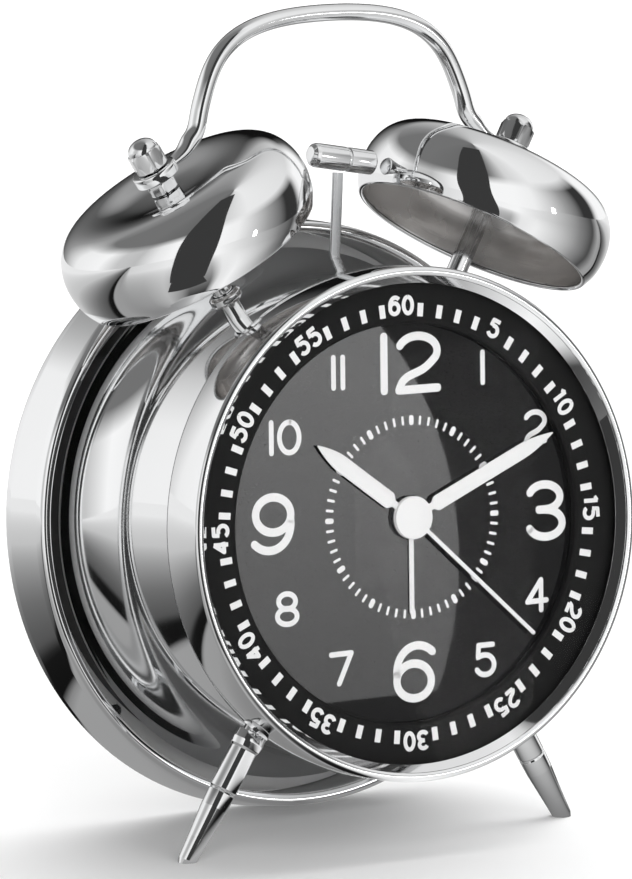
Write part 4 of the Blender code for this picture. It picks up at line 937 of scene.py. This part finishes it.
def make_bell(side, label):
    """A bell, bright outside and duller inside above its rolled rim."""
    outline = [(radius, BELL_RIM + height) for radius, height in bell_profile()]
    bell = add_turned(label + "_gong", outline, 240, (CHROME, BELL_INSIDE),
                      radial(side * BELL_ANGLE, BELL_Y), label + "_bell", "chrome", sharp=50.0)
    for polygon in bell.data.polygons:
        hollow = outward_facing(polygon) < -0.5 or polygon.normal.z < -0.5
        if hollow and polygon.center.z / MM > BELL_RIM + 1.2:
            polygon.material_index = 1


def make_bell_mount(side, label):
    """Post through the bell, collar, spacer and acorn nut."""
    place = radial(side * BELL_ANGLE, BELL_Y)
    post = rounded([(0.0, 44.5), (2.1, 44.5, 0.3), (2.1, 78.7, 0.2), (1.5, 78.7), (1.5, 88.5, 0.2),
                    (0.0, 88.5)], False)
    collar = rounded([(2.4, 53.2), (3.0, 53.2, 0.1), (3.45, 53.8, 0.4), (3.45, 54.9, 0.4),
                      (2.9, 55.4, 0.3), (2.4, 55.4)])
    spacer = [(BORE, 80.2), (3.0, 80.2), (3.3, 80.45), (3.3, 82.25), (3.0, 82.5), (BORE, 82.5)]
    low = 85.5
    top = 89.6
    nut = [(BORE, low), (3.3, low), (3.75, low + 0.4), (3.75, top - 0.45), (3.25, top - 0.05),
           (3.1, top)]
    nut += [(3.1 * math.cos(turn), top + 2.3 * math.sin(turn))
            for turn in (math.radians(9.0 * step) for step in range(1, 10))]
    nut += [(0.0, top + 2.3), (0.0, top - 1.0), (BORE, top - 1.0)]
    nut_place = place @ Matrix.Rotation(0.2, 4, "Z")
    for name, node, outline, segments, spot, turning in (
            ("_pillar", "_bell_post", post, 64, place, {}),
            ("_lock_collar", "_post_collar", collar, 80, place, {}),
            ("_hex_spacer", "_spacer", spacer, 96, place, {"wave": hexagon(3.3, 80.1, 82.6)}),
            ("_domed_nut", "_acorn_nut", nut, 96, nut_place,
             {"wave": hexagon(3.75, low - 0.1, top - 0.02), "closed": True})):
        add_turned(label + name, outline, segments, SMALL_CHROME, spot, label + node, "chrome",
                   **turning)


def handle_path():
    """Centre line of the handle from the left eye over the top to the right eye."""
    eye = 84.0
    out = Vector((math.sin(BELL_ANGLE), math.cos(BELL_ANGLE)))
    along = Vector((math.cos(BELL_ANGLE), -math.sin(BELL_ANGLE)))
    foot = out * eye
    right = [foot - along * 2.9, foot - along * 5.4, foot - along * 7.7 + out * 0.25,
             foot - along * 9.9 + out * 1.1]
    right += [Vector(point) for point in ((32.7, 80.2), (31.45, 83.8), (30.1, 88.0), (28.4, 92.0),
                                          (26.0, 95.6), (22.2, 98.8), (16.6, 101.2), (9.8, 102.5),
                                          (3.2, 102.95))]
    left = [Vector((-point.x, point.y)) for point in right]
    return smooth_curve([tuple(point) for point in left + right[::-1]], 5)


def make_handle():
    """Bent bar with a flattened, bored eye under each acorn nut."""
    def half_height(part):
        from_end = min(part, 1.0 - part)
        return 0.95 + 0.8 * min(1.0, max(0.0, (from_end - 0.03) / 0.09))

    mesh = sweep("carry_bar", handle_path(), 2.2, half_height)
    bar = add_piece("carry_bar", mesh, CHROME, CASE, at(0.0, BELL_Y, 0.0), "handle", "chrome")
    outline = rounded([(BORE, 82.8), (4.7, 82.8, 0.5), (4.7, 85.2, 0.5), (BORE, 85.2)])
    for side, label in SIDES:
        combine(bar, lathe(label + "_eye", outline, 96), radial(side * BELL_ANGLE, BELL_Y), "UNION")


# ---- hammer and legs

def make_hammer():
    """Bent strip on its pivot, and the grooved striker at its end."""
    hinge = at(-2.2, 19.4, 40.0) @ Matrix.Rotation(math.radians(5.5), 4, "Y")
    half = 1.15
    thin = 0.8
    side_view = [(0.0, -9.0), (0.0, 10.2), (0.25, 10.9), (2.35, 13.3), (2.6, 14.0), (2.6, 30.6)]
    rings = []
    for y, z in side_view:
        outline = rounded([(-half, y, 0.25), (half, y, 0.25), (half, y + thin, 0.25),
                           (-half, y + thin, 0.25)], True, 3)
        rings.append([(x, depth, z) for x, depth in outline])
    add_piece("hammer_strip", loft("hammer_strip", rings), STEEL, "hammer", hinge, "hammer_arm",
              "steel")
    outline = rounded([(1.3, 0.0, 0.2), (2.6, 0.0, 0.2), (2.6, 1.5, 0.2), (1.3, 1.5, 0.2)])
    add_turned("hammer_boss", outline, 64, STEEL, hinge @ along_y(0.0, -0.4, 0.0), None, "steel",
               "hammer")

    place = hinge @ at(0.6, 3.0, 33.5) @ Matrix.Rotation(math.radians(94.5), 4, "Y")
    outline = [(0.0, -7.5), (1.6, -7.35, 0.3), (2.25, -6.8, 0.4), (2.5, -6.0, 0.6), (2.5, 0.75, 0.1),
               (2.22, 0.9, 0.1), (2.22, 1.4, 0.1), (2.5, 1.55, 0.1), (2.5, 7.2, 0.25),
               (2.2, 7.5, 0.1), (0.0, 7.5)]
    add_turned("striker", rounded(outline, False), 96, SMALL_CHROME, place, "hammer_head", "chrome",
               "hammer")


def make_leg(side, label):
    """Turned leg with a collar, a fine waist line and a tapered foot cut flat by the floor."""
    start = (side * 29.8, 14.4, -39.5)
    end = (side * 45.6, 17.7, -66.1)
    length = (Vector(end) - Vector(start)).length
    outline = [(0.0, -6.5), (2.0, -6.5), (2.0, 1.2), (3.3, 1.2), (3.42, 3.0, 0.8), (3.2, 4.4, 0.4),
               (2.85, 4.9, 0.1), (2.85, 13.8, 0.15), (2.6, 14.2, 0.15), (2.85, 14.6, 0.15),
               (2.75, 18.0, 3.0), (2.2, 25.0, 3.0), (1.9, length - 1.2, 0.8),
               (1.5, length, 0.4), (0.9, length + 0.9), (0.0, length + 1.2)]
    place = toward(start, end)
    world = CLOCK @ place
    shape = bmesh.new()
    shape.from_mesh(lathe("uncut_leg", rounded(outline, False), 96))
    cut = bmesh.ops.bisect_plane(shape, geom=shape.verts[:] + shape.edges[:] + shape.faces[:],
                                 plane_co=world.inverted() @ Vector((0.0, 0.0, 0.0)),
                                 plane_no=world.to_3x3().inverted() @ Vector((0.0, 0.0, -1.0)),
                                 clear_outer=True)
    rim = [item for item in cut["geom_cut"] if isinstance(item, bmesh.types.BMEdge)]
    bmesh.ops.edgeloop_fill(shape, edges=rim)
    mesh = finish_mesh(label + "_turned_leg", shape)
    add_piece(label + "_turned_leg", mesh, SMALL_CHROME, CASE, place, label + "_leg", "chrome")


# ---- parts kept from the frame

def refinish_nodes():
    """Give every CAD part that is still shown its own procedural material."""
    finishes = ((STEEL, "left_post_nut right_post_nut left_leg_nut right_leg_nut hammer_pin "
                        "hammer_motor motor_bracket contact_plate contact_spring"),
                (PALE_PLASTIC, "crank_disc dial_lamp hour_wheel minute_wheel second_wheel "
                               "alarm_wheel time_pinion alarm_pinion"),
                (BLACK_PLASTIC, "movement_front_case movement_rear_case"),
                (BATTERY_SLEEVE, "battery"), (BOARD, "circuit_board"), (WINDING, "stepper_coil"))
    for material, names in finishes:
        for name in names.split():
            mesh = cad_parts[name].data
            mesh.materials.clear()
            mesh.materials.append(material)


# ---- camera

CAMERA_AZIMUTH = math.radians(-31.12)
CAMERA_HEIGHT = math.radians(4.18)
CAMERA_ROLL = math.radians(-2.64)
CAMERA_DISTANCE = 1500.0
CAMERA_LENS = 305.3
AIM_LEFT = 18.65                    # the picture's middle, from the dial's middle
AIM_UP = 16.91


def camera_axes():
    """Right, up and forward of the camera in the clock frame."""
    level = math.cos(CAMERA_HEIGHT)
    forward = Vector((-math.sin(CAMERA_AZIMUTH) * level, math.cos(CAMERA_AZIMUTH) * level,
                      -math.sin(CAMERA_HEIGHT)))
    flat_right = Vector((math.cos(CAMERA_AZIMUTH), math.sin(CAMERA_AZIMUTH), 0.0))
    flat_up = flat_right.cross(forward)
    right = flat_right * math.cos(CAMERA_ROLL) + flat_up * math.sin(CAMERA_ROLL)
    up = flat_up * math.cos(CAMERA_ROLL) - flat_right * math.sin(CAMERA_ROLL)
    return right, up, forward


def camera_spot():
    """Place of the camera in the clock frame, in millimetres."""
    right, up, forward = camera_axes()
    return up * AIM_UP - right * AIM_LEFT - forward * CAMERA_DISTANCE


def make_camera():
    right, up, forward = camera_axes()
    axes = Matrix((right, up, -forward)).transposed().to_4x4()
    data = bpy.data.cameras.new("camera")
    data.lens = CAMERA_LENS
    data.sensor_width = 36.0
    data.clip_start = 0.05
    camera = new_object("camera", data, CLOCK @ at(*camera_spot()) @ axes)
    bpy.context.scene.camera = camera


# ---- studio

# Brightness seen by mirrors round the horizon: degrees from straight ahead of the clock (right is
# positive) and the grey of a print, 0 to 1.
HORIZON = ((-180.0, 0.6), (-170.0, 0.8), (-158.0, 0.96), (-128.0, 1.0), (-108.0, 0.8),
           (-88.0, 0.76), (-70.0, 0.94), (-55.0, 1.0), (-8.0, 1.0), (10.0, 0.97), (28.0, 0.82),
           (46.0, 0.62), (60.0, 0.46), (70.0, 0.22), (86.0, 0.22), (94.0, 0.9), (100.0, 1.0),
           (124.0, 1.0), (136.0, 0.35), (142.0, 0.1), (158.0, 0.1), (166.0, 0.35), (180.0, 0.6))
# High above, the left is dark and the right is bright.
OVERHEAD = ((-180.0, 0.55), (-160.0, 0.46), (-100.0, 0.46), (-30.0, 0.4), (-8.0, 0.85),
            (20.0, 0.95), (90.0, 0.9), (140.0, 0.8), (180.0, 0.55))
# The floor close to the clock, in front and at the sides, darkened with painted shade of the clock and
# of the dark card.
NEAR_FLOOR_SHADE = ((-180.0, 0.42), (-120.0, 0.48), (-75.0, 0.56), (-58.0, 0.7), (-44.0, 0.5),
              (-36.0, 0.12), (-14.0, 0.12), (-4.0, 0.9), (12.0, 1.0), (40.0, 0.8), (60.0, 0.58),
              (80.0, 0.3), (100.0, 0.6), (150.0, 0.5), (180.0, 0.42))
FAR_FLOOR = ((-180.0, 0.95), (-110.0, 0.8), (-70.0, 0.9), (-55.0, 0.95), (-8.0, 1.0),
             (28.0, 0.82), (62.0, 0.5), (80.0, 0.3), (100.0, 0.9), (180.0, 0.95))
# The floor behind the clock, by metres back: a painted contact shadow where the rim meets the floor,
# then painted shade growing ever lighter.
BACK_FLOOR_SHADOW = ((0.0, 0.6), (0.05, 0.62), (0.054, 0.1), (0.068, 0.12), (0.076, 0.34), (0.11, 0.44),
              (0.15, 0.56), (0.26, 0.78), (0.77, 0.94))
GLARE_DISTANCE = 1500.0
GLARE_SPAN = (-0.28, -0.08)         # heights on the card between which it brightens, in metres
GLARE_LIGHT = (3.2, 8.0)
DARK_SPOT = (-0.107, -0.142)        # foot of the dark card, in metres
DARK_TURN = Matrix.Rotation(math.radians(-36.0), 4, "Z")
FLOOR_HALF = 6.0                    # half the width of the paper floor, in metres
MIRROR_REACH = 3.0                  # radius of the floor that only mirrors see, in metres


def to_light(grey):
    """Light for a print grey."""
    return grey ** 2.2


def grey_ramp(tree, value, stops):
    """Brightness for a value, from stops of (value, grey)."""
    ramp = tree.nodes.new("ShaderNodeValToRGB")
    elements = ramp.color_ramp.elements
    low = stops[0][0]
    high = stops[-1][0]
    while len(elements) < len(stops):
        elements.new(0.5)
    for element, stop in zip(elements, stops):
        element.position = (stop[0] - low) / (high - low)
    for element, stop in zip(elements, stops):
        element.color = (*[to_light(stop[1])] * 3, 1.0)
    tree.links.new(ranged(tree, value, low, high, 0.0, 1.0), ramp.inputs["Fac"])
    return ramp.outputs["Color"]


def turn_value(tree, parts):
    """Angle round the vertical in degrees: 0 straight ahead of the clock, right positive."""
    front = add_node(tree, "Math", {0: parts["Y"], 1: -1.0}, operation="MULTIPLY")["Value"]
    turn = add_node(tree, "Math", {0: parts["X"], 1: front}, operation="ARCTAN2")["Value"]
    return ranged(tree, turn, -math.pi, math.pi, -180.0, 180.0)


def make_world():
    """White to the camera; to the chrome, a ring of soft boxes and dark gaps."""
    world = bpy.data.worlds.new("studio")
    world.use_nodes = True
    tree = world.node_tree
    background = tree.nodes["Background"]
    source = add_node(tree, "TexCoord", {})["Generated"]
    parts = add_node(tree, "SeparateXYZ", {"Vector": source})
    turn = turn_value(tree, parts)
    high = ranged(tree, parts["Z"], 0.4, 0.56, 0.0, 1.0)
    room = blend_colours(tree, high, grey_ramp(tree, turn, HORIZON), grey_ramp(tree, turn, OVERHEAD))
    direct = add_node(tree, "LightPath", {})["Is Camera Ray"]
    seen = blend_colours(tree, direct, room, (1.0, 1.0, 1.0))
    tree.links.new(seen, background.inputs["Color"])
    bpy.context.scene.world = world


def floor_material():
    """White paper: only just off white, with a fine tooth."""
    material, shader, tree = new_material("floor_paper", (0.93, 0.93, 0.93), 0.85)
    cloud = noise(tree, coordinates(tree), 4.0, 2.0)
    vary_colour(tree, shader, cloud, (0.92, 0.92, 0.92), (0.95, 0.95, 0.95))
    bump(tree, shader, noise(tree, coordinates(tree), 900.0, 2.0), 0.03, 0.0002)
    return material


def glow_material(name, light=1.0):
    """Plain emission for a reflection card."""
    material = bpy.data.materials.new(name)
    material.use_nodes = True
    tree = material.node_tree
    tree.nodes.remove(tree.nodes["Principled BSDF"])
    glow = add_node(tree, "Emission", {"Color": (light, light, light, 1.0)})["Emission"]
    tree.links.new(glow, tree.nodes["Material Output"].inputs["Surface"])
    return material


def stage_card(name, mesh, material, place):
    """A card that only mirrors see."""
    card = new_object(name, mesh, place)
    mesh.materials.append(material)
    card.visible_camera = False
    card.visible_diffuse = False
    card.visible_shadow = False
    card.visible_transmission = False


def flat_mesh(name, outline):
    shape = bmesh.new()
    shape.faces.new([shape.verts.new((x, y, 0.0)) for x, y in outline])
    mesh = bpy.data.meshes.new(name)
    shape.to_mesh(mesh)
    shape.free()
    return mesh


def make_floor():
    """Paper floor for the camera, and the floor that the chrome mirrors, darkened near the clock by
    painted shadow.
    """
    square = [(-FLOOR_HALF, -FLOOR_HALF), (FLOOR_HALF, -FLOOR_HALF), (FLOOR_HALF, FLOOR_HALF),
              (-FLOOR_HALF, FLOOR_HALF)]
    floor = new_object("floor", flat_mesh("floor", square), Matrix.Identity(4))
    floor.data.materials.append(floor_material())
    floor.visible_glossy = False

    material = glow_material("mirrored_floor")
    tree = material.node_tree
    source = add_node(tree, "TexCoord", {})["Object"]
    parts = add_node(tree, "SeparateXYZ", {"Vector": source})
    turn = turn_value(tree, parts)
    reach = add_node(tree, "VectorMath", {0: source}, operation="LENGTH")["Value"]
    away = ranged(tree, reach, 0.05, 0.55, 0.0, 1.0)
    front = blend_colours(tree, away, grey_ramp(tree, turn, NEAR_FLOOR_SHADE),
                          grey_ramp(tree, turn, FAR_FLOOR))
    behind = ranged(tree, parts["Y"], 0.0, 0.03, 0.0, 1.0)
    whole = blend_colours(tree, behind, front, grey_ramp(tree, parts["Y"], BACK_FLOOR_SHADOW))
    tree.links.new(whole, tree.nodes["Emission"].inputs["Color"])
    outline = arc(0.0, 0.0, MIRROR_REACH, 0.0, 356.0, 89)
    stage_card("mirrored_floor", flat_mesh("mirrored_floor", outline), material,
               Matrix.Translation((0.0, 0.0, -0.0005)))


def make_cards():
    """The dark figure that the bells mirror, and a patch of painted shade on the floor before it."""
    material = glow_material("dark_card", to_light(0.24))
    outline = [(-0.05, -0.2), (0.05, -0.2), (0.055, 0.1), (0.09, 0.9), (-0.12, 0.9), (-0.06, 0.1)]
    stand = Matrix.Translation((*DARK_SPOT, 0.2)) @ DARK_TURN
    stage_card("dark_card", flat_mesh("dark_card", outline), material,
               stand @ Matrix.Rotation(math.pi / 2.0, 4, "X"))
    # A patch of painted shade lying on the mirrored floor in front of the dark card.
    outline = [(-0.05, -0.24), (0.05, -0.24), (0.045, 0.05), (-0.045, 0.05)]
    lie = Matrix.Translation((*DARK_SPOT, 0.0002)) @ DARK_TURN
    stage_card("painted_floor_shade", flat_mesh("painted_floor_shade", outline), material.copy(), lie)


def make_glare():
    """The bright card whose reflection glazes the left part of the dial, up to a curved edge."""
    eye = camera_spot()
    mirrored = Vector((eye.x, -eye.y, eye.z))
    edge = arc(-58.0, -5.0, 71.0, 58.0, -58.0, 16)
    outline = [(-50.0, 56.0)] + edge + [(-50.0, -66.0)]
    corners = []
    for x, z in outline:
        run = Vector((x, 0.0, z)) - mirrored
        corner = mirrored + run * ((GLARE_DISTANCE + mirrored.y) / mirrored.y)
        corners.append((corner.x * MM, corner.z * MM))
    material = glow_material("glare_card")
    tree = material.node_tree
    source = add_node(tree, "TexCoord", {})["Object"]
    height = add_node(tree, "SeparateXYZ", {"Vector": source})["Y"]
    strength = ranged(tree, height, *GLARE_SPAN, *GLARE_LIGHT)
    tree.links.new(strength, tree.nodes["Emission"].inputs["Strength"])
    stage_card("glare_card", flat_mesh("glare_card", corners), material,
               CLOCK @ at(0.0, -GLARE_DISTANCE, 0.0) @ Matrix.Rotation(math.pi / 2.0, 4, "X"))


def make_lights():
    """A wide sun from above, a little behind and to the right, and a soft fill from the front."""
    for name, strength, spread, start in (("key_sun", 2.6, 70.0, (0.45, 0.5, 1.0)),
                                          ("front_fill", 1.2, 60.0, (-0.3, -1.0, 0.5))):
        data = bpy.data.lights.new(name, "SUN")
        data.energy = strength
        data.angle = math.radians(spread)
        aim = (-Vector(start)).to_track_quat("-Z", "Y").to_matrix().to_4x4()
        new_object(name, data, aim).visible_glossy = False


make_front()
make_case()
print_minute_ring()
print_dial()
make_hands()
make_cover()
make_screws()
make_controls()
for bell_side, bell_label in SIDES:
    make_bell(bell_side, bell_label)
    make_bell_mount(bell_side, bell_label)
    make_leg(bell_side, bell_label)
make_handle()
make_hammer()
refinish_nodes()
make_camera()
make_floor()
make_world()
make_cards()
make_glare()
make_lights()
# The default view transform turns the white floor grey.
bpy.context.scene.view_settings.view_transform = "Standard"
